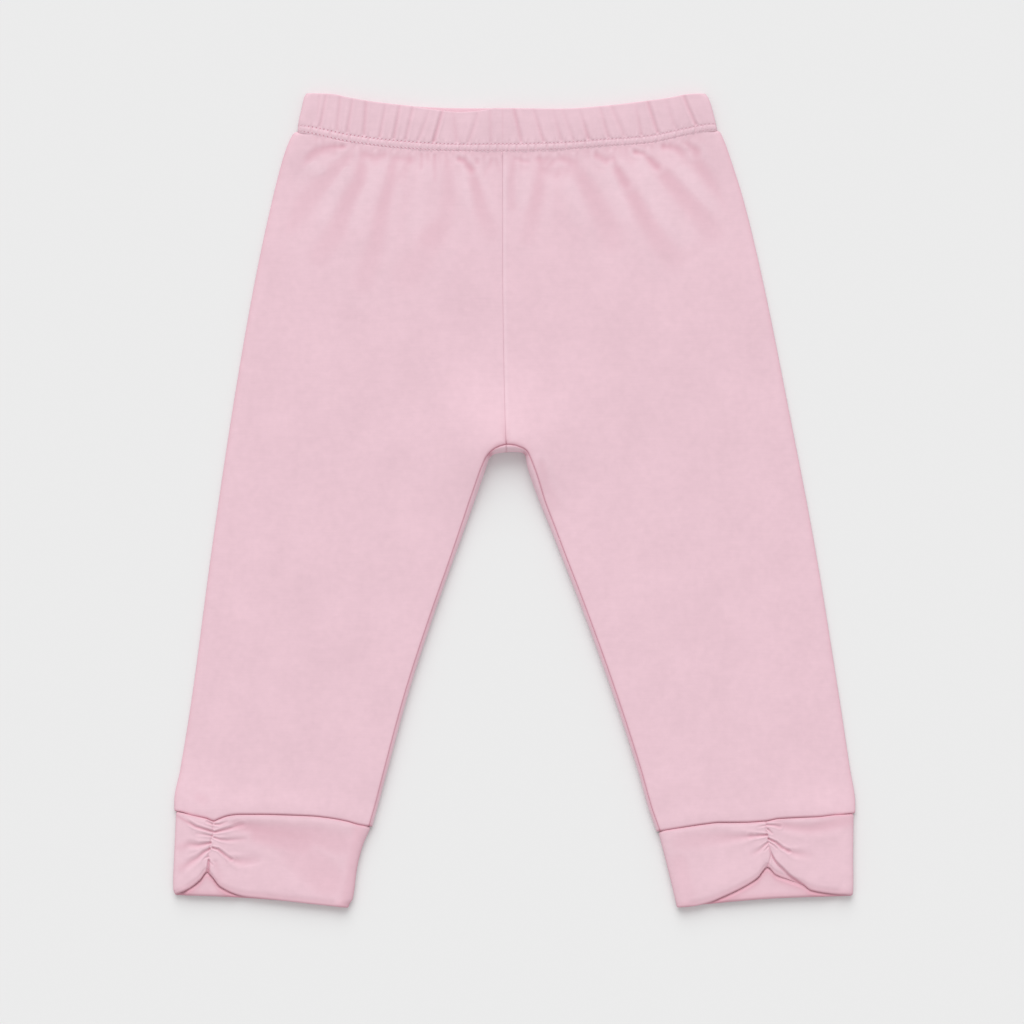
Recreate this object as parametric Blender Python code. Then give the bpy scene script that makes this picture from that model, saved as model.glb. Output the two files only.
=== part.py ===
"""Baby leggings in soft pink jersey, laid flat on a table with the front up.

Each leg is one cut panel folded round the outer side of the leg, so the garment has no side
seams: it is sewn at the centre front, the centre back and down the inside of each leg. The
top of the panels is turned down over an elastic as a waist casing, and a doubled cuff, pulled
up in front by a short gathered line, is sewn to each leg.

The tables are in millimetres and the mesh is in metres. X runs across the garment, Y up
towards the waist and Z off the table. Left and right are as seen from the front.
"""

from collections import namedtuple

import bmesh
import bpy
import numpy as np

MM = 0.001
SEAM_GAP = 0.3  # between two pieces where they are sewn together

# Cloth. The inside of a wall is plain and the folds are raised on its outside, so the wall
# is thinnest at the bottom of a crease.
LEG_WALL = 1.2  # back of the leg, and the least on its folds
LEG_INSIDE = 0.8  # clear height between the front and the back of a leg
LEG_FRONT = 2.1  # front wall of the leg away from its folds
LEG_PUFF = 0.7  # how far the middle of a leg stands above its edges
LEG_FOLD_REACH = 8.0  # the front comes down over this width at the outer fold
LEG_FOLD_UNDER = 1.8  # the same under the fold
INSEAM_REACH = 2.6  # the front comes down over this width at the inside of the leg
INSEAM_GROOVE = 0.5

BAND_WALL = 2.2  # casing and the elastic in it, at the back
BAND_INSIDE = 0.6
BAND_FRONT = 2.6
BAND_FOLD_REACH = 3.4
BAND_FOLD_UNDER = 2.4

CUFF_WALL = 1.8  # doubled cloth, at the back
CUFF_INSIDE = 0.8
CUFF_FRONT = 2.4
CUFF_FOLD_REACH = 4.5
CUFF_FOLD_UNDER = 2.2

PINK = (0.80, 0.56, 0.63, 1.0)
PINK_CUFF = (0.79, 0.55, 0.62, 1.0)

# A crease is a trough along a few points, deepest at its first point and fading to its last,
# with a low ridge along each side of it.
Crease = namedtuple("Crease", "points depth width")
CREASE_WIDENS = 0.6
RIDGE_SHARE = 0.4  # of the depth of the trough
RIDGE_OFF = 1.9  # widths of the trough from its middle to the ridge
RIDGE_WIDTH = 0.8


class Curve:
    """A smooth curve through a table of (place, value) rows that never swings past them."""

    def __init__(self, rows):
        rows = sorted(rows)
        self.place = np.array([row[0] for row in rows], float)
        self.value = np.array([row[1] for row in rows], float)
        step = np.diff(self.place)
        rise = np.diff(self.value) / step
        same_way = rise[:-1] * rise[1:] > 0
        mean = 2 * rise[:-1] * rise[1:] / np.where(same_way, rise[:-1] + rise[1:], 1)
        inner = np.where(same_way, mean, 0)
        self.slope = np.concatenate([rise[:1], inner, rise[-1:]])

    def __call__(self, place):
        place = np.clip(place, self.place[0], self.place[-1])
        left = np.clip(np.searchsorted(self.place, place) - 1, 0, len(self.place) - 2)
        step = self.place[left + 1] - self.place[left]
        t = (place - self.place[left]) / step
        start = (1 + 2 * t) * (1 - t) ** 2 * self.value[left]
        end = t * t * (3 - 2 * t) * self.value[left + 1]
        leave = t * (1 - t) ** 2 * step * self.slope[left]
        arrive = t * t * (t - 1) * step * self.slope[left + 1]
        return start + end + leave + arrive


class Path:
    """A smooth path through points of the plane, followed by its length from the first."""

    def __init__(self, points):
        points = np.array(points, float)
        steps = np.hypot(*np.diff(points, axis=0).T)
        along = np.concatenate([[0], np.cumsum(steps)])
        self.length = along[-1]
        self.x = Curve(list(zip(along, points[:, 0])))
        self.y = Curve(list(zip(along, points[:, 1])))

    def point(self, along):
        return np.array([self.x(along), self.y(along)])

    def across(self, along, side):
        """The unit vector square to the path, towards the cloth of the given side."""
        reach = 1.2
        run = self.point(along + reach) - self.point(along - reach)
        return side * np.array([run[1], -run[0]]) / np.hypot(*run)


def mix(start, end, share):
    return start + (end - start) * share


def ease(share):
    share = np.clip(share, 0, 1)
    return share * share * (3 - 2 * share)


def unit(vector):
    return vector / np.hypot(*vector)


def quarter_round(share):
    """Height of a quarter circle, 0 to 1, at a share of its width."""
    return np.sqrt(np.maximum(1 - (1 - np.clip(share, 0, 1)) ** 2, 0))


def relief(creases, x, y, trough=0.0):
    """Height that the creases add. Where creases meet, the deepest counts most.

    The trough handed in is the depth of one that is there already.
    """
    ridges = np.zeros(np.shape(x))
    troughs = np.zeros(np.shape(x)) + trough ** 3
    for crease in creases:
        points = np.array(crease.points, float)
        lengths = np.hypot(*np.diff(points, axis=0).T)
        whole = lengths.sum()
        nearest = np.full(np.shape(x), np.inf)
        along = np.zeros(np.shape(x))
        done = 0.0
        for start, end, length in zip(points[:-1], points[1:], lengths):
            run = (end - start) / length
            share = np.clip((x - start[0]) * run[0] + (y - start[1]) * run[1], 0, length)
            off = np.hypot(x - start[0] - share * run[0], y - start[1] - share * run[1])
            closer = off < nearest
            nearest = np.where(closer, off, nearest)
            along = np.where(closer, (done + share) / whole, along)
            done += length
        off = nearest / (crease.width * (1 + CREASE_WIDENS * along))
        depth = crease.depth * (1 - along) ** 0.7
        ridge = RIDGE_SHARE * depth * np.exp(-(((off - RIDGE_OFF) / RIDGE_WIDTH) ** 2))
        ridges += ridge ** 3
        troughs += (depth * np.exp(-off * off)) ** 3
    return np.cbrt(ridges) - np.cbrt(troughs)


# Where the cloth of the legs meets the waistband, the cuffs and its own other edge.
WAIST_SEAM = Curve([
    (-109.8, 183.6), (-105.5, 183.1), (-82.0, 178.1), (-57.0, 175.1), (-37.0, 174.0),
    (-5.7, 173.6), (23.0, 174.4), (43.0, 176.0), (65.5, 177.5), (87.5, 182.0),
    (97.5, 184.0), (102.6, 184.4),
])
CENTRE_SEAM = Curve([(174.0, -5.7), (115.0, -5.7), (86.5, -5.35), (52.5, -4.75), (24.0, -3.85)])
CROTCH_Y = 23.8  # the fold between the legs
CROTCH_STRIP = 3.95  # width of the back that shows above that fold

Leg = namedtuple("Leg", "side outer_edge inner_edge strip cuff_seam outer_y creases")

LEFT_LEG = Leg(
    side=-1,
    outer_edge=Curve([
        (183.6, -109.9), (179.0, -112.4), (171.0, -115.4), (150.0, -120.9), (110.0, -129.5),
        (50.0, -140.0), (-25.0, -151.2), (-100.0, -161.3), (-135.0, -167.0),
        (-150.0, -169.9), (-155.8, -170.0),
    ]),
    inner_edge=Path([
        (-3.85, 23.8), (-7.0, 23.5), (-9.9, 22.8), (-11.7, 21.4), (-12.9, 19.4), (-14.0, 15.8),
        (-17.2, 6.5), (-25.2, -16.0), (-39.2, -55.0), (-52.2, -95.0), (-63.2, -135.0),
        (-68.0, -153.0), (-70.9, -163.3),
    ]),
    strip=Curve([
        (0, 3.95), (4.0, 2.9), (7.5, 1.8), (9.5, 1.7), (17.0, 2.4), (30.0, 2.4), (46.0, 2.1),
        (75.0, 1.6), (150.0, 1.7), (190.0, 1.5), (205.0, 1.6),
    ]),
    cuff_seam=Curve([
        (-170.2, -155.8), (-167.0, -156.15), (-160.5, -157.7), (-153.5, -159.3), (-150.2, -160.5),
        (-147.5, -159.5), (-142.5, -157.8), (-137.0, -157.2), (-127.0, -157.2),
        (-101.0, -158.0), (-93.5, -158.8), (-84.0, -160.5), (-77.0, -162.4), (-70.9, -163.3),
    ]),
    outer_y=-155.8,
    creases=[
        Crease(((-98.0, 176.0), (-103.5, 169.5), (-108.0, 167.0)), 1.6, 2.6),
        Crease(((-89.0, 176.0), (-97.5, 176.5)), 1.2, 2.2),
        Crease(((-71.0, 175.0), (-76.5, 157.0), (-83.5, 143.0), (-90.5, 131.0)), 1.2, 2.6),
        Crease(((-68.5, 174.5), (-65.5, 170.0)), 0.9, 1.8),
        Crease(((-59.5, 174.0), (-64.0, 152.0), (-68.0, 139.0), (-71.5, 126.0)), 1.2, 2.6),
        Crease(((-52.0, 173.0), (-56.0, 165.0)), 0.9, 2.0),
        Crease(((-43.5, 173.0), (-42.5, 167.0)), 0.7, 1.8),
        Crease(((-31.0, 160.0), (-36.0, 138.0), (-44.0, 114.0)), 0.5, 4.0),
        Crease(((-29.0, 172.0), (-21.5, 165.0), (-19.5, 154.0), (-12.5, 137.0)), 1.8, 2.4),
        Crease(((-12.5, 172.5), (-14.0, 166.0)), 0.8, 1.8),
        Crease(((-167.0, -143.0), (-157.5, -149.0)), 0.8, 2.6),
    ],
)

RIGHT_LEG = Leg(
    side=1,
    outer_edge=Curve([
        (184.4, 102.7), (179.0, 105.2), (171.0, 108.1), (150.0, 114.8), (110.0, 124.4),
        (50.0, 136.5), (-25.0, 150.8), (-95.0, 162.1), (-135.0, 168.2), (-150.0, 170.6),
        (-156.9, 170.8),
    ]),
    inner_edge=Path([
        (-3.85, 23.8), (0.5, 23.9), (3.5, 23.7), (5.4, 22.5), (6.0, 20.0), (6.7, 16.4),
        (9.8, 6.9), (18.9, -16.0), (34.2, -55.0), (48.7, -95.0), (61.8, -135.0),
        (67.2, -154.0), (71.3, -165.8),
    ]),
    strip=Curve([
        (0, 3.95), (4.0, 3.4), (7.5, 2.3), (9.8, 1.9), (12.0, 2.4), (16.0, 3.2), (21.0, 3.5),
        (28.0, 3.2), (36.0, 2.6), (46.0, 2.4), (70.0, 2.0), (120.0, 1.8), (190.0, 1.6),
        (210.0, 1.8),
    ]),
    cuff_seam=Curve([
        (71.3, -165.8), (83.5, -163.8), (95.5, -162.0), (103.0, -161.2), (114.5, -161.2),
        (126.0, -160.5), (132.5, -159.3), (144.2, -158.7), (152.0, -158.4),
        (160.0, -157.5), (170.8, -156.9),
    ]),
    outer_y=-156.9,
    creases=[
        Crease(((1.5, 172.5), (5.0, 170.0)), 0.8, 1.8),
        Crease(((12.5, 172.0), (9.0, 152.0), (5.5, 130.0), (4.5, 106.0)), 1.3, 2.8),
        Crease(((20.5, 173.0), (17.0, 165.0)), 1.1, 2.0),
        Crease(((30.0, 173.0), (36.0, 159.0), (42.0, 148.0), (48.5, 137.0)), 1.3, 2.8),
        Crease(((43.0, 174.0), (50.5, 168.0), (59.5, 150.0), (70.0, 132.0)), 1.7, 2.3),
        Crease(((62.0, 175.5), (71.5, 168.0), (86.0, 150.0), (99.5, 136.5)), 1.8, 2.4),
        Crease(((76.0, 178.0), (86.0, 174.5), (96.5, 162.0), (103.0, 154.0)), 1.6, 2.4),
        Crease(((86.0, 180.5), (92.0, 176.0), (97.0, 171.0)), 1.1, 2.0),
    ],
)

CROTCH_OUTER_Y = 60.0  # where the row of cloth that ends at the crotch starts, at the outer fold
NEAR_SEAM = 2.5  # the front follows its seam edge over this width
TURN = 20.0  # the rows of the front turn towards the crotch over this length
WAIST_FADE = 60.0  # the curve of the waist seam has died out this far below it
CUFF_FADE = 40.0


def centre_length():
    return WAIST_SEAM(CENTRE_SEAM.value[-1]) - CROTCH_Y - CROTCH_STRIP


def leg_row(leg, row):
    """The points and directions that a row of the leg runs between.

    Rows 0 to 1 go from the waist to the crotch and end at the centre seams. Rows 1 to 2 go
    on down to the cuff: on the front they end at the inside seam, and on the back they go
    round the inner fold and come up to the other side of that seam.
    """
    side = leg.side
    level = np.array([float(side), 0.0])
    seam_top = WAIST_SEAM(CENTRE_SEAM.value[-1])
    front_end = CROTCH_Y + CROTCH_STRIP + SEAM_GAP / 2
    turned = unit(level + np.array([0.0, 1.0]))
    if row < 1:
        outer_y = mix(WAIST_SEAM(leg.outer_edge.value[-1]), CROTCH_OUTER_Y, row)
        y = mix(seam_top, front_end, row)
        left = (y - front_end) / TURN
        front = np.array([CENTRE_SEAM(y) + side * SEAM_GAP / 2, y])
        back_y = mix(seam_top, CROTCH_Y + LEG_FOLD_UNDER, row)
        back = np.array([CENTRE_SEAM(back_y) + side * SEAM_GAP / 2, back_y])
        ends = dict(front=front, inward=unit(mix(turned, level, ease(left))), back=back)
        ends.update(fold=None, across=None, strip=100.0)
    else:
        along = (row - 1) * leg.inner_edge.length
        outer_y = mix(CROTCH_OUTER_Y, leg.outer_y, row - 1)
        fold = leg.inner_edge.point(along)
        fold[0] += side * SEAM_GAP / 2 * (1 - ease(along / 4))
        across = leg.inner_edge.across(along, -side)
        across = unit(mix(np.array([0.0, 1.0]), across, ease(along / 3)))
        strip = float(leg.strip(along))
        front = fold + across * (strip + SEAM_GAP / 2)
        inward = unit(mix(turned, across, ease(along / 12)))
        ends = dict(front=front, inward=inward, fold=fold, across=across, strip=strip)
        ends["back"] = fold + across * LEG_FOLD_UNDER
    ends["outer"] = np.array([leg.outer_edge(outer_y), outer_y])
    return ends


def leg_plan(leg, row, place, inset):
    """Where the stations of a row lie in plan, before the seams give the row its curve.

    The places are 0 to 1 beside the seam, 1 to 2 across the front, 2 to 3 round the outer
    fold, 3 to 4 across the back and 4 to 5 round the inner fold and up to the seam.
    """
    ends = leg_row(leg, row)
    place = np.asarray(place, float)
    inward_out = np.array([-float(leg.side), 0.0])
    points = np.empty((len(place), 2))
    seam_side = ends["front"] + ends["inward"] * NEAR_SEAM
    top_start = ends["outer"] + inward_out * LEG_FOLD_REACH
    back_start = ends["outer"] + inward_out * LEG_FOLD_UNDER
    for i, at in enumerate(place):
        if at <= 1:
            points[i] = ends["front"] + ends["inward"] * NEAR_SEAM * at
        elif at <= 2:
            points[i] = mix(seam_side, top_start, at - 1)
        elif at <= 3:
            angle = (at - 2) * np.pi
            reach = LEG_FOLD_REACH if at < 2.5 else LEG_FOLD_UNDER
            points[i] = ends["outer"] + inward_out * (
                inset + (reach - inset) * (1 - np.sin(angle))
            )
        elif at <= 4:
            points[i] = mix(back_start, ends["back"], at - 3)
        elif at <= 4.5:
            angle = (at - 4) * np.pi
            off = inset + (LEG_FOLD_UNDER - inset) * (1 - np.sin(angle))
            points[i] = ends["fold"] + ends["across"] * off
        else:
            points[i] = ends["fold"] + ends["across"] * strip_off(ends, at, inset)
    return ends, points


def strip_off(ends, at, inset):
    """Distance from the inner fold of a station on the strip between the fold and the seam."""
    share = 1 - np.cos((at - 4.5) * np.pi)
    return mix(inset, ends["strip"] - SEAM_GAP / 2, share)


def leg_points(leg, row, place, depth):
    """Points of the leg: depth 0 is the outer skin and depth 1 the inner skin."""
    place = np.asarray(place, float)
    skins = []
    for inset in (0.0, LEG_WALL):
        ends, plan = leg_plan(leg, row, place, inset)
        top_plan = leg_plan(leg, 0.0, np.minimum(place, 4.0), inset)[1]
        low_plan = leg_plan(leg, 2.0, place, inset)[1]
        from_waist = row * centre_length() if row < 1 else centre_length() + 1
        to_cuff = (2 - row) * leg.inner_edge.length if row > 1 else leg.inner_edge.length
        waist = WAIST_SEAM(top_plan[:, 0]) - top_plan[:, 1]
        smooth_back = mix(leg.cuff_seam.value[0], leg.cuff_seam.value[-1],
                          (low_plan[:, 0] - leg.cuff_seam.place[0])
                          / (leg.cuff_seam.place[-1] - leg.cuff_seam.place[0]))
        on_back = (place > 2.5) & (place < 4.5)
        cuff = np.where(on_back, smooth_back, leg.cuff_seam(low_plan[:, 0])) - low_plan[:, 1]
        plan[:, 1] += waist * np.clip(1 - from_waist / WAIST_FADE, 0, 1) ** 2
        plan[:, 1] += cuff * np.clip(1 - to_cuff / CUFF_FADE, 0, 1) ** 2
        skins.append(np.column_stack([plan, leg_height(leg, ends, place, plan, inset)]))
    return mix(skins[0], skins[1], depth)


def leg_height(leg, ends, place, plan, inset):
    outside = inset == 0
    floor = 0.0 if outside else LEG_WALL
    roof = LEG_WALL + LEG_INSIDE + (LEG_FRONT if outside else 0.0)
    middle = (floor + roof) / 2
    half = (roof - floor) / 2
    height = np.full(len(place), middle)
    near = np.clip(place, 0, 1) * NEAR_SEAM
    seam_off = ends["strip"] + SEAM_GAP / 2 + near
    inner_round = quarter_round((seam_off - inset) / (INSEAM_REACH - inset))
    front = place <= 2
    height[front] = (middle + half * inner_round)[front]
    around = (place > 2) & (place < 3)
    height[around] = middle + half * np.cos((place[around] - 2) * np.pi)
    height[(place >= 3) & (place <= 4)] = floor
    under = (place > 4) & (place <= 4.5)
    height[under] = middle - half * np.cos((place[under] - 4) * np.pi)
    strip = place > 4.5
    if strip.any():
        off = strip_off(ends, place[strip], inset)
        height[strip] = middle + half * quarter_round((off - inset) / (INSEAM_REACH - inset))
    if outside:
        across = np.clip((place - 1), 0, 1)
        puff = LEG_PUFF * np.sin(np.pi * np.clip(across, 0, 1)) ** 0.6
        groove = INSEAM_GROOVE * np.exp(-((near / 1.1) ** 2))
        folds = relief(leg.creases, plan[:, 0], plan[:, 1])
        fade = ease((2 - place) / 0.04)
        height += np.where(front, (puff + folds) * fade - groove, 0)
    return height


Gather = namedtuple("Gather", "low_x top_x depth")

GATHERS = [
    Gather(-95.5, -94.5, 0.8), Gather(-88.0, -87.0, 0.5), Gather(-82.0, -81.0, 0.7),
    Gather(-74.5, -74.0, 1.1), Gather(-65.5, -65.0, 0.7), Gather(-59.0, -58.0, 0.7),
    Gather(-52.5, -51.0, 0.8), Gather(-39.5, -36.0, 1.1), Gather(-29.5, -27.5, 0.7),
    Gather(-20.5, -18.5, 0.7), Gather(-11.5, -12.0, 0.5), Gather(-5.7, -5.7, 0.9),
    Gather(4.0, 0.5, 0.7), Gather(15.0, 11.0, 0.6), Gather(28.5, 27.0, 0.6),
    Gather(37.5, 34.0, 0.7), Gather(48.5, 45.5, 0.8), Gather(55.5, 51.5, 0.7),
    Gather(71.5, 67.5, 1.1), Gather(81.0, 78.0, 0.5), Gather(90.7, 85.5, 1.1),
]
GATHER_SWELL = 0.4  # the casing stands up this far between two gathers

BAND_LOW_Y = 184.0  # of the corners of the casing at its lower edge
BAND_TOP_Y = 203.4
BAND_LEFT = Curve([
    (183.9, -108.2), (187.5, -108.0), (196.0, -106.2), (201.5, -105.0), (203.5, -103.9),
])
BAND_RIGHT = Curve([
    (184.7, 101.6), (187.5, 101.0), (196.0, 99.0), (201.5, 97.2), (203.3, 95.9),
])
BAND_TOP = Curve([
    (-104.0, 203.4), (-91.5, 203.0), (-81.5, 201.0), (-69.0, 199.0), (-47.5, 196.8),
    (-27.0, 196.0), (-6.0, 195.9), (23.0, 195.6), (44.5, 197.0), (62.0, 199.0),
    (77.0, 201.0), (88.5, 203.0), (96.0, 203.2),
])
FRONT_DIP = Curve([(-52.5, 0.0), (-40.0, 1.2), (-27.0, 2.0), (-18.0, 1.4), (-10.0, 0.0)])

# Height of the front of the casing above its plain level, from its lower edge to its top.
# The cloth stands up between the two needle rows.
LOWER_NEEDLES = 0.03
UPPER_NEEDLES = 0.17
BAND_PROFILE = Curve([
    (0.0, -0.7), (LOWER_NEEDLES, -0.7), (0.09, -0.2), (UPPER_NEEDLES, -0.8), (0.3, 0.1),
    (0.6, 0.3), (1.0, 0.0),
])


def ring_points(place, width_out, width_in, size, roof, edges):
    """Plan distance and height round a flat ring, given the two edges at this row.

    The places are 0 to 1 across the front from the first edge to the second, 1 to 2 round
    the second edge, 2 to 3 back across the underside and 3 to 4 round the first edge.
    """
    reach, under, inset, floor = size
    middle = (floor + roof) / 2
    half = (roof - floor) / 2
    first, second = edges
    way = np.sign(second - first)
    if place <= 1:
        return mix(first + way * reach, second - way * reach, width_out), roof
    if place < 2:
        angle = (place - 1) * np.pi
        wide = reach if place < 1.5 else under
        off = inset + (wide - inset) * (1 - np.sin(angle))
        return second - way * off, middle + half * np.cos(angle)
    if place <= 3:
        return mix(second - way * under, first + way * under, width_in), floor
    angle = (4 - place) * np.pi
    wide = reach if place > 3.5 else under
    off = inset + (wide - inset) * (1 - np.sin(angle))
    return first + way * off, middle + half * np.cos(angle)


def band_gather(place, row):
    """Share of the way across the front at a station that follows the gathers, and its height."""
    rank = place * (len(GATHERS) + 1)
    low_ends = (BAND_LEFT.value[0] + BAND_FOLD_REACH, BAND_RIGHT.value[0] - BAND_FOLD_REACH)
    top_ends = (BAND_LEFT.value[-1] + BAND_FOLD_REACH, BAND_RIGHT.value[-1] - BAND_FOLD_REACH)
    low = [low_ends[0]] + [g.low_x for g in GATHERS] + [low_ends[1]]
    top = [top_ends[0]] + [g.top_x for g in GATHERS] + [top_ends[1]]
    low_share = (np.interp(rank, range(len(low)), low) - low[0]) / (low[-1] - low[0])
    top_share = (np.interp(rank, range(len(top)), top) - top[0]) / (top[-1] - top[0])
    depths = [0.0] + [g.depth for g in GATHERS] + [0.0]
    depth = np.interp(rank, range(len(depths)), depths)
    in_crease = np.cos(np.pi * (rank - np.round(rank))) ** 2
    strength = ease((row - UPPER_NEEDLES) / 0.1) * mix(1.0, 0.6, row)
    height = (GATHER_SWELL * (1 - in_crease) - depth * in_crease) * strength
    return mix(low_share, top_share, row), height


def band_points(row, places, depth):
    """Points of the waistband: row 0 is its lower edge and row 1 its top."""
    points = []
    side_y = mix(BAND_LOW_Y, BAND_TOP_Y, row)
    edges = (BAND_LEFT(side_y), BAND_RIGHT(side_y))
    low_edges = (BAND_LEFT.value[0], BAND_RIGHT.value[0])
    top_edges = (BAND_LEFT.value[-1], BAND_RIGHT.value[-1])
    for place in places:
        share, gathers = band_gather(min(place, 1.0), row)
        ends = []
        for inset, floor, roof in (
            (0.0, 0.0, BAND_WALL + BAND_INSIDE + BAND_FRONT + BAND_PROFILE(row) + gathers),
            (BAND_WALL, BAND_WALL, BAND_WALL + BAND_INSIDE),
        ):
            size = (BAND_FOLD_REACH, BAND_FOLD_UNDER, inset, floor)
            (x, z), (low_x, _), (top_x, _) = [
                ring_points(place, share, place - 2, size, roof, pair)
                for pair in (edges, low_edges, top_edges)
            ]
            top_y = BAND_TOP(top_x) - (FRONT_DIP(top_x) if place <= 1 else 0.0)
            y = mix(WAIST_SEAM(low_x) + SEAM_GAP, top_y, row)
            ends.append(np.array([x, y, z]))
        points.append(mix(ends[0], ends[1], depth))
    return np.array(points)


Cuff = namedtuple("Cuff", "leg outer_edge inner_edge front_hem back_hem ruche creases")

LEFT_CUFF = Cuff(
    leg=LEFT_LEG,
    outer_edge=Curve([
        (-155.8, -169.0), (-180.0, -170.0), (-190.0, -170.4), (-196.0, -170.4), (-197.7, -169.6),
    ]),
    inner_edge=Curve([
        (-163.3, -72.0), (-172.5, -75.7), (-184.5, -78.5), (-200.5, -80.6), (-203.8, -82.5),
    ]),
    front_hem=Curve([
        (-169.8, -197.2), (-163.5, -194.8), (-157.0, -190.0), (-153.5, -186.0), (-151.5, -187.5),
        (-147.0, -193.0), (-140.5, -196.5), (-134.5, -198.2), (-127.0, -199.0),
        (-105.0, -201.5), (-83.0, -203.9),
    ]),
    back_hem=Curve([
        (-169.8, -197.6), (-147.0, -198.3), (-127.0, -199.5), (-105.5, -201.5), (-83.0, -203.9),
    ]),
    ruche=((-150.0, -160.5), (-151.0, -167.5), (-152.5, -176.0), (-153.2, -186.0)),
    creases=[
        Crease(((-151.2, -165.2), (-156.2, -164.5), (-162.0, -162.0), (-168.0, -158.0)), 1.2, 1.9),
        Crease(((-151.2, -162.5), (-156.0, -160.8)), 0.6, 1.2),
        Crease(((-152.0, -167.5), (-159.5, -166.5)), 0.5, 1.5),
        Crease(((-152.5, -171.5), (-160.5, -172.0), (-166.2, -173.4)), 1.0, 1.7),
        Crease(((-152.5, -174.0), (-158.5, -178.2), (-164.5, -181.5)), 1.1, 1.7),
        Crease(((-153.0, -178.5), (-157.0, -180.0)), 0.6, 1.3),
        Crease(((-149.5, -163.3), (-144.0, -161.2)), 0.8, 1.3),
        Crease(((-149.8, -165.5), (-143.5, -163.8), (-137.0, -162.8), (-118.5, -164.5)), 1.2, 2.0),
        Crease(((-150.5, -167.8), (-145.5, -169.2), (-140.5, -170.0)), 0.8, 1.5),
        Crease(((-151.0, -173.3), (-148.0, -175.0), (-144.5, -178.4), (-135.5, -181.5)), 1.1, 1.8),
        Crease(((-152.0, -179.0), (-150.5, -182.5)), 0.6, 1.3),
    ],
)

RIGHT_CUFF = Cuff(
    leg=RIGHT_LEG,
    outer_edge=Curve([(-156.9, 169.8), (-180.0, 169.6), (-192.0, 169.7), (-197.8, 169.5)]),
    inner_edge=Curve([(-165.8, 72.4), (-178.5, 75.5), (-196.0, 79.5), (-203.8, 81.2)]),
    front_hem=Curve([
        (81.4, -203.8), (90.0, -203.0), (98.0, -201.0), (104.5, -198.3), (114.5, -193.5),
        (121.5, -189.0), (126.7, -183.5), (131.0, -187.3), (138.0, -190.0), (144.2, -192.3),
        (148.5, -195.0), (158.0, -196.7), (169.4, -197.6),
    ]),
    back_hem=Curve([
        (81.4, -203.8), (97.5, -202.0), (113.0, -200.5), (131.0, -199.2), (153.0, -198.4),
        (169.4, -198.0),
    ]),
    ruche=((126.0, -160.8), (126.7, -168.0), (128.2, -176.0), (126.9, -183.5)),
    creases=[
        Crease(((126.0, -166.9), (119.5, -167.3), (112.0, -168.8), (103.0, -169.5)), 1.2, 1.9),
        Crease(((126.5, -171.2), (124.0, -172.6), (120.0, -175.0)), 0.8, 1.5),
        Crease(((126.8, -161.9), (131.5, -162.6), (136.5, -164.0), (149.5, -164.5)), 1.1, 1.8),
        Crease(((127.0, -164.0), (129.0, -166.5)), 0.7, 1.3),
        Crease(((127.2, -168.9), (131.5, -172.0), (136.0, -175.0), (141.5, -176.8)), 1.2, 1.8),
        Crease(((128.2, -171.2), (131.5, -173.5)), 0.6, 1.2),
        Crease(((128.4, -176.5), (131.0, -181.0), (135.0, -185.2), (141.5, -190.0)), 1.2, 1.2),
    ],
)
RUCHE_DEPTH = 1.2
RUCHE_WIDTH = 1.3
RUCHE_LIFT = 0.6  # the gathered cloth stands up on both sides of the line
RUCHE_LIFT_OFF = 4.0
RUCHE_LIFT_WIDTH = 3.0


def cuff_points(cuff, row, places, depth):
    """Points of a cuff: row 0 is its seam to the leg and row 1 its lower edge."""
    seam = cuff.leg.cuff_seam
    points = []
    spans = []
    for at in (0.0, row, 1.0):
        span = []
        for edge in (cuff.outer_edge, cuff.inner_edge):
            y = mix(seam(edge.value[-1]), cuff.front_hem(edge.value[0]), at)
            span.append(float(edge(y)))
        spans.append(span)
    for place in places:
        ends = []
        for inset, floor, roof in (
            (0.0, 0.0, CUFF_WALL + CUFF_INSIDE + CUFF_FRONT),
            (CUFF_WALL, CUFF_WALL, CUFF_WALL + CUFF_INSIDE),
        ):
            size = (CUFF_FOLD_REACH, CUFF_FOLD_UNDER, inset, floor)
            across = min(place, 1.0)
            (top_x, _), (x, z), (low_x, _) = [
                ring_points(place, across, place - 2, size, roof, span) for span in spans
            ]
            share = (top_x - seam.place[0]) / (seam.place[-1] - seam.place[0])
            plain_seam = mix(seam.value[0], seam.value[-1], share)
            on_back = 1.5 < place < 3.5
            top_y = plain_seam if on_back else seam(top_x)
            low_y = cuff.back_hem(low_x) if on_back else cuff.front_hem(low_x)
            y = mix(top_y - SEAM_GAP, low_y, row)
            if inset == 0 and place <= 1:
                z += cuff_relief(cuff, x, y) * ease(place / 0.05) * ease((1 - place) / 0.05)
            ends.append(np.array([x, y, z], float))
        points.append(mix(ends[0], ends[1], depth))
    return np.array(points)


def cuff_relief(cuff, x, y):
    """The creases that run out from the gathered line, and the line itself."""
    line = Curve([(point[1], point[0]) for point in cuff.ruche])
    off = abs(x - line(y))
    pinch = RUCHE_DEPTH * np.exp(-((off / RUCHE_WIDTH) ** 2))
    lift = RUCHE_LIFT * np.exp(-(((off - RUCHE_LIFT_OFF) / RUCHE_LIFT_WIDTH) ** 2))
    return lift + relief(cuff.creases, np.array(x), np.array(y), pinch)


def zip_rows(mesh, near, far):
    """Joins two rows of (place, vertex) with triangles, stepping along whichever lags."""
    i = j = 0
    while i < len(near) - 1 or j < len(far) - 1:
        near_next = near[i + 1][0] if i < len(near) - 1 else np.inf
        far_next = far[j + 1][0] if j < len(far) - 1 else np.inf
        if near_next <= far_next:
            corners = (near[i][1], near[i + 1][1], far[j][1])
            i += 1
        else:
            corners = (near[i][1], far[j + 1][1], far[j][1])
            j += 1
        mesh.faces.new(corners)


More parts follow.
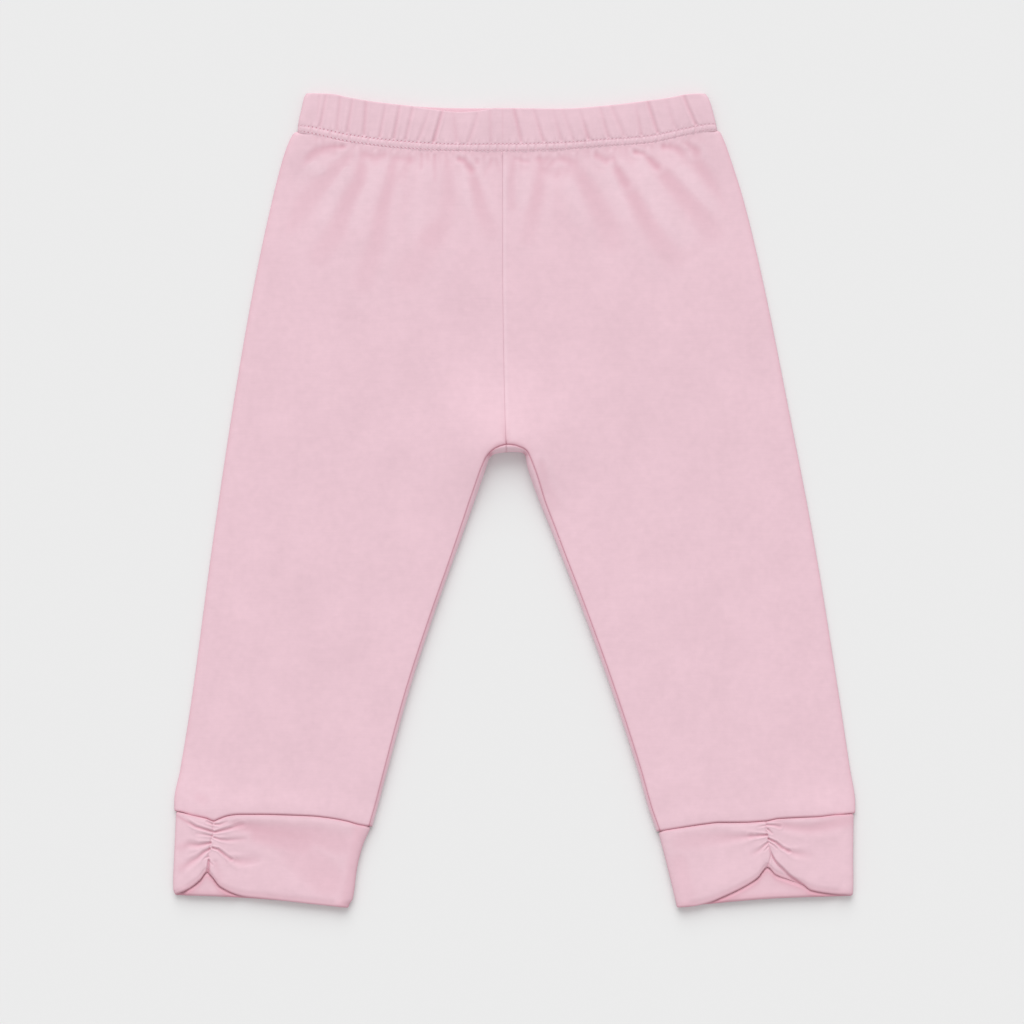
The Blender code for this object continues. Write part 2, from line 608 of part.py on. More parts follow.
def skin_rows(mesh, rows, points_of):
    """Adds the vertices of a skin: one list of (place, vertex) for each (row, depth, places)."""
    skin = []
    for row, depth, places in rows:
        points = points_of(row, places, depth)
        skin.append([(at, mesh.verts.new(point * MM)) for at, point in zip(places, points)])
    return skin


def join_rows(mesh, skin):
    for near, far in zip(skin, skin[1:]):
        zip_rows(mesh, near, far)


def finish(mesh, name, colour):
    """Makes the wall an object with its faces outwards and its own material."""
    bmesh.ops.recalc_face_normals(mesh, faces=mesh.faces)
    data = bpy.data.meshes.new(name)
    mesh.to_mesh(data)
    mesh.free()
    data.shade_smooth()
    material = bpy.data.materials.new(name)
    material.use_nodes = True
    shader = material.node_tree.nodes["Principled BSDF"]
    shader.inputs["Base Color"].default_value = colour
    shader.inputs["Roughness"].default_value = 0.85
    shader.inputs["Metallic"].default_value = 0.0
    data.materials.append(material)
    made = bpy.data.objects.new(name, data)
    bpy.context.scene.collection.objects.link(made)
    return made


def ring(name, colour, points_of, outer_rows, inner_rows, outer_places, inner_places):
    """A flat tube of doubled cloth: an outer and an inner skin joined at both of its ends."""
    mesh = bmesh.new()
    skins = []
    for rows, places in ((outer_rows, outer_places), (inner_rows, inner_places)):
        stations = [outer_places if row == 0.0 else places for row, _ in rows]
        skin = skin_rows(mesh, [(*row, at) for row, at in zip(rows, stations)], points_of)
        for row in skin:
            row.append((4.0, row[0][1]))
        join_rows(mesh, skin)
        skins.append(skin)
    zip_rows(mesh, skins[0][0], skins[1][0])
    zip_rows(mesh, skins[0][-1], skins[1][-1])
    return finish(mesh, name, colour)


def spread(start, end, count):
    """Evenly spaced places from start up to but not including end."""
    return [float(at) for at in np.linspace(start, end, count, endpoint=False)]


# Rows of stations round a leg, in mm down the centre seam and then down the inner fold.
ROWS_BELOW_WAIST = [
    0.0, 0.8, 2.5, 5.0, 8.0, 11.5, 15.5, 20.0, 25.5, 32.0, 40.0, 50.0, 62.0, 78.0, 96.0, 114.0,
    128.0, 137.0, 142.0,
]
ROWS_BELOW_CROTCH = [
    0.0, 2.2, 4.4, 6.0, 7.4, 8.6, 9.8, 11.4, 13.5, 17.0, 23.0, 32.0, 44.0, 60.0, 78.0, 96.0,
    114.0, 132.0, 150.0, 166.0, 180.0, 191.0,
]


def leg(name, colour, shape):
    """A panel of cloth folded round the leg, open along its seams and at both ends."""
    mesh = bmesh.new()
    end = shape.inner_edge.length
    rows = [at / centre_length() for at in ROWS_BELOW_WAIST]
    rows += [1 + at / end for at in ROWS_BELOW_CROTCH if at < end - 3]
    rows += [2 - 2.4 / end, 2 - 0.8 / end, 2.0]
    depth_at_end = {0.0: 0.35, rows[1]: 0.08, rows[-2]: 0.08, 2.0: 0.35}

    def places(row, fine):
        """Stations of a row: close together below the waist and where it is sewn at an end."""
        from_waist = row * centre_length() if row < 1 else end
        at_end = row in (0.0, 2.0)
        across = 34 if from_waist < 36 else 20 if from_waist < 64 else 11
        if at_end:
            across = 46 if row == 0.0 else 56
        fine = fine or at_end
        stations = [0.0, 0.25, 0.6] if fine else [0.0]
        stations += spread(1, 2, across if fine else 5)
        stations += spread(2, 3, 7 if fine else 4)
        stations += spread(3, 4, 20 if at_end else 5 if fine else 3) + [4.0]
        round_inner = [4.17, 4.33, 4.5, 4.67, 4.83, 5.0] if fine else [4.25, 4.5, 4.75, 5.0]
        return stations, [4.0] + round_inner

    def points_of(row, at, depth):
        return leg_points(shape, row, at, depth)

    skins = []
    for fine in (True, False):
        kept = [r for i, r in enumerate(rows) if fine or 0.93 < r < 1.09 or i % 3 == 0 or r == 2.0]
        depths = [depth_at_end.get(r, 0.0) if fine else 1.0 for r in kept]
        sheet = skin_rows(mesh, [(r, d, places(r, fine)[0]) for r, d in zip(kept, depths)], points_of)
        join_rows(mesh, sheet)
        strip = []
        for r, d, main in zip(kept, depths, sheet):
            if r < 1:
                continue
            around = places(r, fine)[1]
            added = skin_rows(mesh, [(r, d, around[1:])], points_of)[0]
            strip.append([main[-1]] + added)
        join_rows(mesh, strip)
        front = [(r, row[0][1]) for r, row in zip(kept, sheet)]
        back = [(r, row[-1][1]) for r, row in zip(kept, sheet) if r <= 1]
        inseam = [(r, row[-1][1]) for r, row in zip([r for r in kept if r >= 1], strip)]
        low = sheet[-1] + strip[-1][1:]
        skins.append((sheet[0], low, front, back, strip[0], inseam))
    for outer, inner in zip(*skins):
        zip_rows(mesh, outer, inner)
    return finish(mesh, name, colour)


for old in list(bpy.data.objects):
    bpy.data.objects.remove(old)

leg("leg_left", PINK, LEFT_LEG)
leg("leg_right", PINK, RIGHT_LEG)

gather_places = [i / (2 * len(GATHERS) + 2) for i in range(2 * len(GATHERS) + 2)]
fold_places = [1.0, 1.17, 1.33, 1.5, 1.67, 1.83]
ring(
    "waistband", PINK, band_points,
    [(0.0, 0.3), (0.03, 0.05), (0.09, 0.0), (0.17, 0.0), (0.3, 0.0), (0.6, 0.0), (0.88, 0.0),
     (0.96, 0.1), (1.0, 0.4)],
    [(0.0, 1.0), (0.5, 1.0), (0.96, 1.0), (1.0, 0.8)],
    gather_places + fold_places + spread(2, 3, 24) + [at + 2 for at in fold_places],
    spread(0, 1, 14) + [1.0, 1.25, 1.5, 1.75] + spread(2, 3, 12) + [3.0, 3.25, 3.5, 3.75],
)

CUFF_ROWS = [(0.0, 0.35), (0.025, 0.1), (0.07, 0.0)]
CUFF_ROWS += [(0.07 + 0.83 * i / 15, 0.0) for i in range(1, 16)]
CUFF_ROWS += [(0.97, 0.1), (1.0, 0.4)]


def cuff_places(low, high):
    """Stations across the front, close together between two places beside the ruche."""
    return spread(0, low, 3) + spread(low, high, 24) + spread(high, 1, 7)


for name, shape, low, high in (
    ("cuff_left", LEFT_CUFF, 0.04, 0.42),
    ("cuff_right", RIGHT_CUFF, 0.18, 0.62),
):
    ring(
        name, PINK_CUFF,
        lambda row, places, depth, shape=shape: cuff_points(shape, row, places, depth),
        CUFF_ROWS,
        [(0.0, 1.0), (0.35, 1.0), (0.7, 1.0), (0.97, 1.0), (1.0, 0.85)],
        cuff_places(low, high) + fold_places + spread(2, 3, 7) + [at + 2 for at in fold_places],
        spread(0, 1, 10) + [1.0, 1.25, 1.5, 1.75] + spread(2, 3, 6) + [3.0, 3.25, 3.5, 3.75],
    )
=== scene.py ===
"""Baby leggings in soft pink jersey, laid flat with the front up and seen from straight above."""

import math
from collections import namedtuple

import bmesh
import bpy
import numpy as np
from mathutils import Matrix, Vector


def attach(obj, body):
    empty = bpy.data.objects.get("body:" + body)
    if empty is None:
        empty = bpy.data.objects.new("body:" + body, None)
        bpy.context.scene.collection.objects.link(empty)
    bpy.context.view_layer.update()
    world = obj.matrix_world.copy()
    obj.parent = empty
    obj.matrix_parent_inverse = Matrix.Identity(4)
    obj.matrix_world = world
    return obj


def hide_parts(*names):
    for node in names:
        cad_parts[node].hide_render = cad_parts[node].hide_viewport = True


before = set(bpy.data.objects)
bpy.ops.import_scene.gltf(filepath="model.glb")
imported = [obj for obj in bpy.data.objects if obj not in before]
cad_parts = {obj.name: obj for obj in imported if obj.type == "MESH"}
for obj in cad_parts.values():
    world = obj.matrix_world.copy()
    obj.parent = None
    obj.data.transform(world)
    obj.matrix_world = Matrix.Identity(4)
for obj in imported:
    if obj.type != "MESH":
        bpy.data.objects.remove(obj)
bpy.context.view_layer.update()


# Leg panels. Each leg is one piece of cotton jersey folded round the outer side, so there is no
# side seam. The panels are sewn to each other at the centre front and back, and each to itself
# down the inside of the leg, where a narrow strip of its back rolls up into view.

MM = 0.001
LEG_TOP = 4.1  # height of the front above the table; sizes here are in millimetres
LEG_PUFF = 0.7  # the middle of a leg stands this much higher
FOLD_DROP = 1.4  # the front comes down to the outer fold, which lies flatter
INSEAM_RISE = 1.0  # and the seam allowances hold up the inside of the leg
LEVEL_FADE = 30.0  # both die out over this length at the casing and the cuff
PUFF_FADE = 20.0  # and the softness over this one, below the waist
PUFF_AT_WAIST, PUFF_AT_SEAM = 0.15, 0.5  # what is left of it there
WAIST_CALM, CUFF_CALM = 0.3, 0.8  # the relief is less by this share on the sewn ends
LEG_FOLD_REACH = 8.0  # the front comes down over this width at the outer fold
LEG_FOLD_UNDER = 1.8
INSEAM_REACH = 2.6  # and over this width at the inside of the leg
JERSEY_WALL = 0.7
NEAR_SEAM = 2.5  # the cloth follows its seam edge over this width
WAIST_ROLL, WAIST_SINK = 0.7, 0.06  # the sewn ends round over, and down by the second size
WAIST_FOLD_ROLL, WAIST_FOLD_SINK = 2.0, 2.1  # and so at the outer fold
WAIST_TUCK = 0.6  # the top edge runs on under the casing
CUFF_ROLL, CUFF_SINK = 1.3, 0.14
CUFF_FOLD_ROLL, CUFF_FOLD_SINK = 1.6, 1.2
CENTRE_ROLL, CENTRE_SINK = 0.45, 0.11
INSEAM_ROLL, INSEAM_SINK = 0.55, 0.55
CROTCH = -3.85 + 26j
CROTCH_LIFT, CROTCH_SPREAD = 7.4, 26.0  # four seams meet here and hold the cloth up
CROTCH_NEAR = 11.5
CROTCH_REACH = 0.6  # near them the front comes down over so much more
CROTCH_ROLL, CROTCH_SINK = 2.0, 0.4  # and it rolls and sinks by so much more
FAR = 100.0  # further than any seam acts
BACK_SHIFT = 7 + 3j  # the back is creased like the front, a little further on
BACK_FADE = 0.05  # at both sides of the back, as a share of its width
CREASE_POWER = 1.2  # 1 is a sharp line and 2 a round trough
CREASE_SOFTER = 0.4  # so much more for each millimetre of width
CREASE_RELIEF = 0.36  # most of what shows of a crease is its painted shade
# painted shade in the troughs of creases
CREASE_SHADE = 0.55
RIDGE_TINT = -0.5  # below nothing, paler: the cloth on a ridge catches more light
# painted light: the strip of back that rolls up at the inside seam is a little paler
STRIP_HIGHLIGHT = -0.05
# how much the puckers vary the painted shade below the casing
PUCKER_SHADE = 0.6
FOLD_EDGE_SHADE = 0.35  # painted shade along a folded edge
# the most that painted highlight may pale the cloth
PALEST = -0.15

Crease = namedtuple("Crease", "points depths widths")
Mark = namedtuple("Mark", "size off width")  # how much, how far from its line and how wide

CREASE_RIDGE = Mark(0.3, 1.9, 0.8)  # beside a crease, in shares of its depth and width
CUFF_SWELL = Mark(0.45, 3.5, 6.0)  # the cloth rises to the cuff seam over its allowances
WAIST_PUCKERS = Mark(0.2, 1.6, 1.2)
ALLOWANCE_RIDGE = Mark(0.22, 1.4, 0.9)  # the allowances lie under the right panel
# Painted shade in the seam grooves and over the crotch.
INSEAM_SHADE = Mark(0.6, 0.0, 0.65)
CENTRE_SEAM_SHADE = Mark(0.06, 0.0, 0.65)
CUFF_SEAM_SHADE = Mark(0.75, 0.0, 0.9)
CROTCH_SHADE = Mark(0.4, 0.0, 2.4)
# painted highlight beside the seam allowances, which lie under the right panel
ALLOWANCE_HIGHLIGHT = Mark(-0.12, 1.1, 0.8)
CROTCH_ALLOWANCE_HIGHLIGHT = Mark(-0.1, 3.0, 3.0)
WAIST_SHADE = Mark(0.16, 0.0, 7.0)  # painted shade in the gathered cloth next to the casing
# painted shade at the tuck by the crotch and along the back seam on the strip
TUCK_SHADE = Mark(0.8, 0.0, 1.5)
BACK_SEAM_SHADE = Mark(0.4, 0.0, 0.35)


class Curve:
    """A smooth curve through (place, value) rows that never swings past them."""

    def __init__(self, rows):
        self.place, self.value = np.array(sorted(rows), float).T
        step = np.diff(self.place)
        rise = np.diff(self.value) / step
        same_way = rise[:-1] * rise[1:] > 0
        mean = 2 * rise[:-1] * rise[1:] / np.where(same_way, rise[:-1] + rise[1:], 1)
        self.slope = np.concatenate([rise[:1], np.where(same_way, mean, 0), rise[-1:]])

    def __call__(self, place):
        place = np.clip(place, self.place[0], self.place[-1])
        left = np.clip(np.searchsorted(self.place, place) - 1, 0, len(self.place) - 2)
        step = self.place[left + 1] - self.place[left]
        t = (place - self.place[left]) / step
        start = (1 + 2 * t) * (1 - t) ** 2 * self.value[left]
        end = t * t * (3 - 2 * t) * self.value[left + 1]
        leave = t * (1 - t) ** 2 * step * self.slope[left]
        arrive = t * t * (t - 1) * step * self.slope[left + 1]
        return start + end + leave + arrive


class Path:
    """A smooth path in plan, followed by its length. Plan points are complex: x + y i."""

    def __init__(self, points):
        points = np.array(points)
        along = np.concatenate([[0], np.cumsum(abs(np.diff(points)))])
        self.length = along[-1]
        self.x = Curve(zip(along, points.real))
        self.y = Curve(zip(along, points.imag))

    def point(self, along):
        return self.x(along) + 1j * self.y(along)

    def across(self, along, side):
        """The direction square to the path, towards the cloth of the given side."""
        reach = 1.2
        return -1j * side * unit(self.point(along + reach) - self.point(along - reach))


def mix(start, end, share):
    return start + (end - start) * share


def ease(share):
    share = np.clip(share, 0, 1)
    return share * share * (3 - 2 * share)


def rise(value, start, stop):
    """0 at start and 1 at stop, eased between them. Either may be the lower one."""
    return ease((value - start) / (stop - start))


def within(value, start, stop, fade):
    """1 from start to stop, eased to 0 at both ends over the fade."""
    return ease((value - start) / fade) * ease((stop - value) / fade)


def unit(direction):
    return direction / abs(direction)


def rounded(share):
    """Height of a quarter circle, 0 to 1, at a share of its width."""
    return np.sqrt(np.maximum(1 - (1 - np.clip(share, 0, 1)) ** 2, 0))


def bell(distance, width):
    return np.exp(-((distance / width) ** 2))


def marked(distance, mark):
    """What a mark adds at a distance from its line."""
    return mark.size * bell(distance - mark.off, mark.width)


def deepest(parts):
    """The sum of the parts, in which the deepest counts most."""
    return np.cbrt(sum(part ** 3 for part in parts))


def waves(x, y, table):
    """Long faint swells of the cloth: each row of the table is (height, x pitch, y pitch, start)."""
    return sum(
        height * np.sin(2 * np.pi * (x / pitch_x + y / pitch_y) + start)
        for height, pitch_x, pitch_y, start in table
    )


def creases_at(creases, plan):
    """Height that creases add, and the depth of their troughs.

    A crease is a trough whose depth and width go from the first to the second value along its
    points, with a low ridge on both sides. Narrow ones are sharp lines and wide ones flat.
    """
    ridges = []
    troughs = []
    for crease in creases:
        points = np.array(crease.points)
        lengths = abs(np.diff(points))
        nearest = np.full(plan.shape, np.inf)
        along = np.zeros(plan.shape)
        done = 0.0
        for start, run, length in zip(points, unit(np.diff(points)), lengths):
            seen = (plan - start) / run
            reached = np.clip(seen.real, 0, length)
            off = abs(seen - reached)
            along = np.where(off < nearest, (done + reached) / lengths.sum(), along)
            nearest = np.minimum(nearest, off)
            done += length
        width = mix(*crease.widths, along)
        off = nearest / width
        depth = mix(*crease.depths, along)
        ridges.append(depth * marked(off, CREASE_RIDGE))
        troughs.append(depth * np.exp(-(off ** (CREASE_POWER + CREASE_SOFTER * width))))
    trough = deepest(troughs)
    return deepest(ridges) - trough, trough


# The waist and cuff seams give y at each x. The centre seam and the outer edges give x at each y.
WAIST_SEAM = Curve([
    (-109.8, 183.6), (-105.5, 183.1), (-82, 178.1), (-57, 175.1), (-37, 174),
    (-5.7, 173.6), (23, 174.4), (43, 176), (65.5, 177.5), (87.5, 182),
    (97.5, 184), (102.6, 184.4),
])
CENTRE_SEAM = Curve([(174, -5.7), (115, -5.7), (86.5, -5.35), (52.5, -4.75), (24, -3.85)])
SEAM_TOP = float(WAIST_SEAM(-5.7))
CROTCH_Y = 23.8  # the fold between the legs
CROTCH_STRIP = 3.95  # width of the back that shows above that fold
CROTCH_OUTER_Y = 60.0  # where the line of cloth that ends at the crotch leaves the outer fold
CENTRE_LENGTH = SEAM_TOP - CROTCH_Y - CROTCH_STRIP
CENTRE_TURN = 20.0  # the lines of the front turn towards the crotch over these lengths
INSEAM_TURN = 12.0
CROTCH_TURN = 3.0  # and the strip turns round it over this one
WAIST_FADE = 60.0  # the curve of the waist seam has died out this far below it
CUFF_FADE = 40.0

# A leg's side is -1 on the left and 1 on the right, and outer_y is where its outer edge ends at
# the cuff. Its strip gives a width at each length along the inner edge; the tuck gets painted shade.
Leg = namedtuple("Leg", "side outer_edge inner_edge strip cuff_seam outer_y tuck creases")

LEFT_LEG_CREASES = [Crease(*row) for row in (
    ([-85+176.6j, -92+176.4j, -99+174.6j, -105+170.5j, -112+166j], (0.75, 0.4), (1.1, 3.4)),
    ([-90+174.2j, -97+173.6j, -102.5+170.5j], (0.4, 0.35), (1.8, 2.4)),
    ([-82+171.5j, -94+160.5j, -104+150j, -113+139j], (0.32, 0.16), (2.6, 6)),
    ([-74+172.6j, -69.5+171.2j, -65+172.4j], (0.55, 0.45), (2, 1.8)),
    ([-70.5+170.5j, -69+168j], (0.4, 0.2), (2, 1.6)),
    ([-75.6+172j, -77.7+159j, -82.7+150.5j, -89.1+133.2j, -97+122j], (0.5, 0.12), (2.4, 5.4)),
    ([-60+170.5j, -62+157.5j, -65.5+146j, -69+127.5j, -75+109j], (0.5, 0.12), (2, 5.4)),
    ([-58.5+170.6j, -51.5+170.4j], (0.4, 0.45), (1.8, 2)),
    ([-52+169.5j, -55+165.5j, -57.5+160j], (0.35, 0.2), (1.8, 2.6)),
    ([-101+167.5j, -93+162.5j], (-0.2, -0.15), (3, 3)),
    ([-85+166j, -95+142j], (-0.2, -0.1), (2.6, 4)),
    ([-68+165j, -79+139j], (-0.2, -0.1), (2.6, 4)),
    ([-44+165j, -50+139j], (-0.15, -0.1), (4, 5)),
    ([-26.5+161j, -22.5+148j], (-0.12, -0.08), (2.6, 3.4)),
    ([-46.3+172.6j, -46.3+165.6j], (0.4, 0.2), (0.8, 1.1)),
    ([-39.8+172j, -39.6+160.5j], (0.35, 0.1), (0.8, 1.2)),
    ([-33+169j, -32.7+150.5j, -35+139j, -41+130.5j], (0.2, 0.2), (1.6, 5.4)),
    ([-39+133j, -47+120j, -54+112j], (0.18, 0.08), (6, 8)),
    ([-27.3+170.5j, -24.4+169.2j, -21.3+165j], (0.85, 0.8), (1.3, 1.8)),
    ([-21.8+166.5j, -18.5+154.6j, -16.3+144.6j, -11.5+134j], (0.6, 0.12), (1.9, 4.4)),
    ([-19.6+162.5j, -14.6+149.4j], (0.2, 0.1), (0.8, 1.2)),
    ([-18.6+169.5j, -18.5+168.6j], (0.5, 0.5), (1.2, 1.2)),
    ([-11.2+169.8j, -15.1+161.8j], (0.3, 0.1), (1, 1.4)),
    ([-8.9+169.8j, -6.9+163.5j], (0.3, 0.1), (0.8, 1)),
    ([-109.5+179j, -103+178j], (0.45, 0.35), (1.2, 1.6)),
    ([-167.5-142.8j, -162-146.5j, -155-150j], (0.5, 0.15), (1.1, 2.6)),
)]

LEFT_LEG = Leg(
    side=-1,
    outer_edge=Curve([
        (183.6, -109.9), (179, -112.4), (171, -115.4), (150, -120.9), (110, -129.5),
        (50, -140), (-25, -151.2), (-100, -161.3), (-135, -167),
        (-150, -169.9), (-155.8, -170),
    ]),
    inner_edge=Path([
        -3.85+23.8j, -7+23.5j, -9.9+22.8j, -11.7+21.4j, -12.9+19.4j, -14+15.8j,
        -17.2+6.5j, -25.2-16j, -39.2-55j, -52.2-95j, -63.2-135j,
        -68-153j, -70.9-163.3j,
    ]),
    strip=Curve([
        (0, 3.95), (4, 2.9), (7.5, 1.8), (9.5, 1.7), (17, 2.4), (30, 2.4), (46, 2.1),
        (75, 1.6), (150, 1.7), (190, 1.5), (205, 1.6),
    ]),
    cuff_seam=Curve([
        (-170.2, -155.8), (-167, -156.15), (-160.5, -157.7), (-153.5, -159.3), (-150.2, -160.5),
        (-147.5, -159.5), (-142.5, -157.8), (-137, -157.2), (-127, -157.2),
        (-101, -158), (-93.5, -158.8), (-84, -160.5), (-77, -162.4), (-70.9, -163.3),
    ]),
    outer_y=-155.8,
    tuck=-11.8+22.6j,
    creases=LEFT_LEG_CREASES,
)

RIGHT_LEG_CREASES = [Crease(*row) for row in (
    ([1.4+170.6j, 4.6+169.4j, 7.2+169.2j], (0.4, 0.35), (1.1, 1.1)),
    ([0+170.5j, -1.6+161j, -1.2+147j], (0.3, 0.15), (1.2, 2.2)),
    ([12+170.4j, 15+169.6j, 17+170.6j], (0.6, 0.45), (1.7, 1.5)),
    ([13.6+168j, 12.2+153j, 9.3+141j, 6.5+131j], (0.5, 0.12), (2.5, 4)),
    ([20.3+170j, 16+165.5j], (0.55, 0.4), (1.5, 2.1)),
    ([14.5+164.5j, 20.5+163.4j, 26.5+165.2j], (0.3, 0.3), (2.8, 2.8)),
    ([24+170.6j, 30.5+168.8j], (0.65, 0.35), (1.8, 1.9)),
    ([29.5+167.5j, 35.9+157.5j, 40.5+149j, 46+138.5j, 49+129j], (0.42, 0.12), (3.2, 5.6)),
    ([41.5+172.2j, 46+169.6j, 49+171j], (0.6, 0.5), (1.7, 1.6)),
    ([50+170j, 51.5+165.5j, 55.5+158.5j], (0.5, 0.5), (1.1, 2.4)),
    ([52+164.5j, 60+150.5j, 65.9+139j, 73+127.5j, 79.5+120j], (0.6, 0.1), (2.4, 5.4)),
    ([60.8+173.9j, 64+173.2j], (0.9, 0.7), (1.2, 1.2)),
    ([65+172.8j, 71.5+166.6j], (0.7, 0.8), (1.2, 1.8)),
    ([69+169.5j, 75.9+161.8j, 84.4+151.8j, 93+143j, 100+134j], (0.6, 0.12), (2.6, 5.6)),
    ([74.8+176.6j, 80+176.2j, 85+173.8j], (0.65, 0.5), (1.5, 2.2)),
    ([82+175j, 86.5+170j, 93+164.5j], (0.5, 0.1), (2, 3)),
    ([86+178.4j, 91.5+174j], (0.6, 0.65), (1.4, 1.9)),
    ([90+175j, 93.5+166.5j, 98.7+160.5j, 105.8+153.2j, 113+143j], (0.55, 0.12), (2.6, 5.4)),
    ([5+162j, 4+149j], (-0.15, -0.12), (2.6, 3.2)),
    ([28+155j, 32+142j], (-0.12, -0.08), (5, 5)),
    ([46+162j, 54.5+143j], (-0.18, -0.1), (3.2, 4)),
    ([62+166.5j, 76+141j, 85+132j], (-0.22, -0.12), (3, 5.4)),
    ([84+165j, 97+147j], (-0.2, -0.1), (3, 4)),
    ([95.2+180j, 99.9+178.7j, 103+177j], (0.4, 0.25), (1.2, 1.8)),
    ([13.5+18j, 16+8j, 20.5-3j], (0.25, 0.1), (2, 2.6)),
)]

RIGHT_LEG = Leg(
    side=1,
    outer_edge=Curve([
        (184.4, 102.7), (179, 105.2), (171, 108.1), (150, 114.8), (110, 124.4),
        (50, 136.5), (-25, 150.8), (-95, 162.1), (-135, 168.2), (-150, 170.6),
        (-156.9, 170.8),
    ]),
    inner_edge=Path([
        -3.85+23.8j, 0.5+23.9j, 3.5+23.7j, 5.4+22.5j, 6+20j, 6.7+16.4j,
        9.8+6.9j, 18.9-16j, 34.2-55j, 48.7-95j, 61.8-135j,
        67.2-154j, 71.3-165.8j,
    ]),
    strip=Curve([
        (0, 3.95), (4, 3.4), (7.5, 2.3), (9.8, 1.9), (12, 2.4), (16, 3.2), (21, 3.5),
        (28, 3.2), (36, 2.6), (46, 2.4), (70, 2), (120, 1.8), (190, 1.6),
        (210, 1.8),
    ]),
    cuff_seam=Curve([
        (71.3, -165.8), (83.5, -163.8), (95.5, -162), (103, -161.2), (114.5, -161.2),
        (126, -160.5), (132.5, -159.3), (144.2, -158.7), (152, -158.4),
        (160, -157.5), (170.8, -156.9),
    ]),
    outer_y=-156.9,
    tuck=5.2+22.8j,
    creases=RIGHT_LEG_CREASES,
)

LEG_SWELLS = [
    (0.06, 31, 140, 0), (0.05, -17, 95, 1.3), (0.07, 74, -61, 2.1),
    (0.05, 260, 48, 0.4),
]
PUCKERS = [(0.5, 1.9, 400, 0.3), (0.4, 3.1, -700, 2.2), (0.45, 4.7, 900, 1.9)]

Lines = namedtuple("Lines", "outer front inward back fold across strip")


def leg_lines(leg, row):
    """The points in plan that the rows of a leg run between.

    Rows 0 to 1 go down from the waist to the crotch and end at the centre seams. Rows 1 to 2
    go on to the cuff and end at the inside seam.
    """
    level = complex(leg.side, 0)
    turned = unit(level + 1j)
    upper = np.clip(row, 0, 1)
    lower = np.clip(row - 1, 0, 1)
    front_end = CROTCH_Y + CROTCH_STRIP
    front_y = mix(SEAM_TOP, front_end, upper)
    back_y = mix(SEAM_TOP, CROTCH_Y + LEG_FOLD_UNDER, upper)
    along = lower * leg.inner_edge.length
    fold = leg.inner_edge.point(along)
    across = unit(mix(1j, leg.inner_edge.across(along, -leg.side), rise(along, 0, CROTCH_TURN)))
    strip = leg.strip(along)
    above = row < 1
    front = np.where(above, CENTRE_SEAM(front_y) + 1j * front_y, fold + across * strip)
    back = np.where(above, CENTRE_SEAM(back_y) + 1j * back_y, fold + across * LEG_FOLD_UNDER)
    inward = np.where(
        above,
        unit(mix(turned, level, rise(front_y, front_end, front_end + CENTRE_TURN))),
        unit(mix(turned, across, rise(along, 0, INSEAM_TURN))),
    )
    outer_top = float(WAIST_SEAM(leg.outer_edge.value[-1]))
    outer_y = mix(mix(outer_top, CROTCH_OUTER_Y, upper), leg.outer_y, lower)
    outer = leg.outer_edge(outer_y) + 1j * outer_y
    return Lines(outer, front, inward, back, fold, across, strip)


def leg_plan(leg, lines, place, sink):
    """Where the cloth lies in plan. The sewn ends draw in at the sides by their sink.

    The places are 0 to 1 beside the seam, 1 to 2 across the front, 2 to 3 round the outer
    fold, 3 to 4 across the back, 4 to 4.5 round the inner fold and 4.5 to 5 up to the seam.
    """
    reach = np.where(place < 2.5, LEG_FOLD_REACH, LEG_FOLD_UNDER)
    off_outer = sink + (reach - sink) * (1 - np.sin((place - 2) * np.pi))
    off_inner = sink + (LEG_FOLD_UNDER - sink) * (1 - np.sin((place - 4) * np.pi))
    beside = lines.front + lines.inward * NEAR_SEAM
    start = lines.outer - leg.side * LEG_FOLD_REACH
    under = lines.outer - leg.side * LEG_FOLD_UNDER
    return np.select(
        [place <= 1, place <= 2, place <= 3, place <= 4, place <= 4.5],
        [
            mix(lines.front, beside, place),
            mix(beside, start, place - 1),
            lines.outer - leg.side * off_outer,
            mix(under, lines.back, place - 3),
            lines.fold + lines.across * off_inner,
        ],
        lines.fold + lines.across * strip_off(lines, place),
    )


def strip_off(lines, place):
    """Distance from the inner fold of a place on the strip that rolls up to the seam."""
    return lines.strip * (1 - np.cos((place - 4.5) * np.pi))


Spot = namedtuple(
    "Spot",
    "place row plan lines sink from_waist to_cuff waist_end cuff_end around_fold"
    " above near_crotch seam_distance",
)


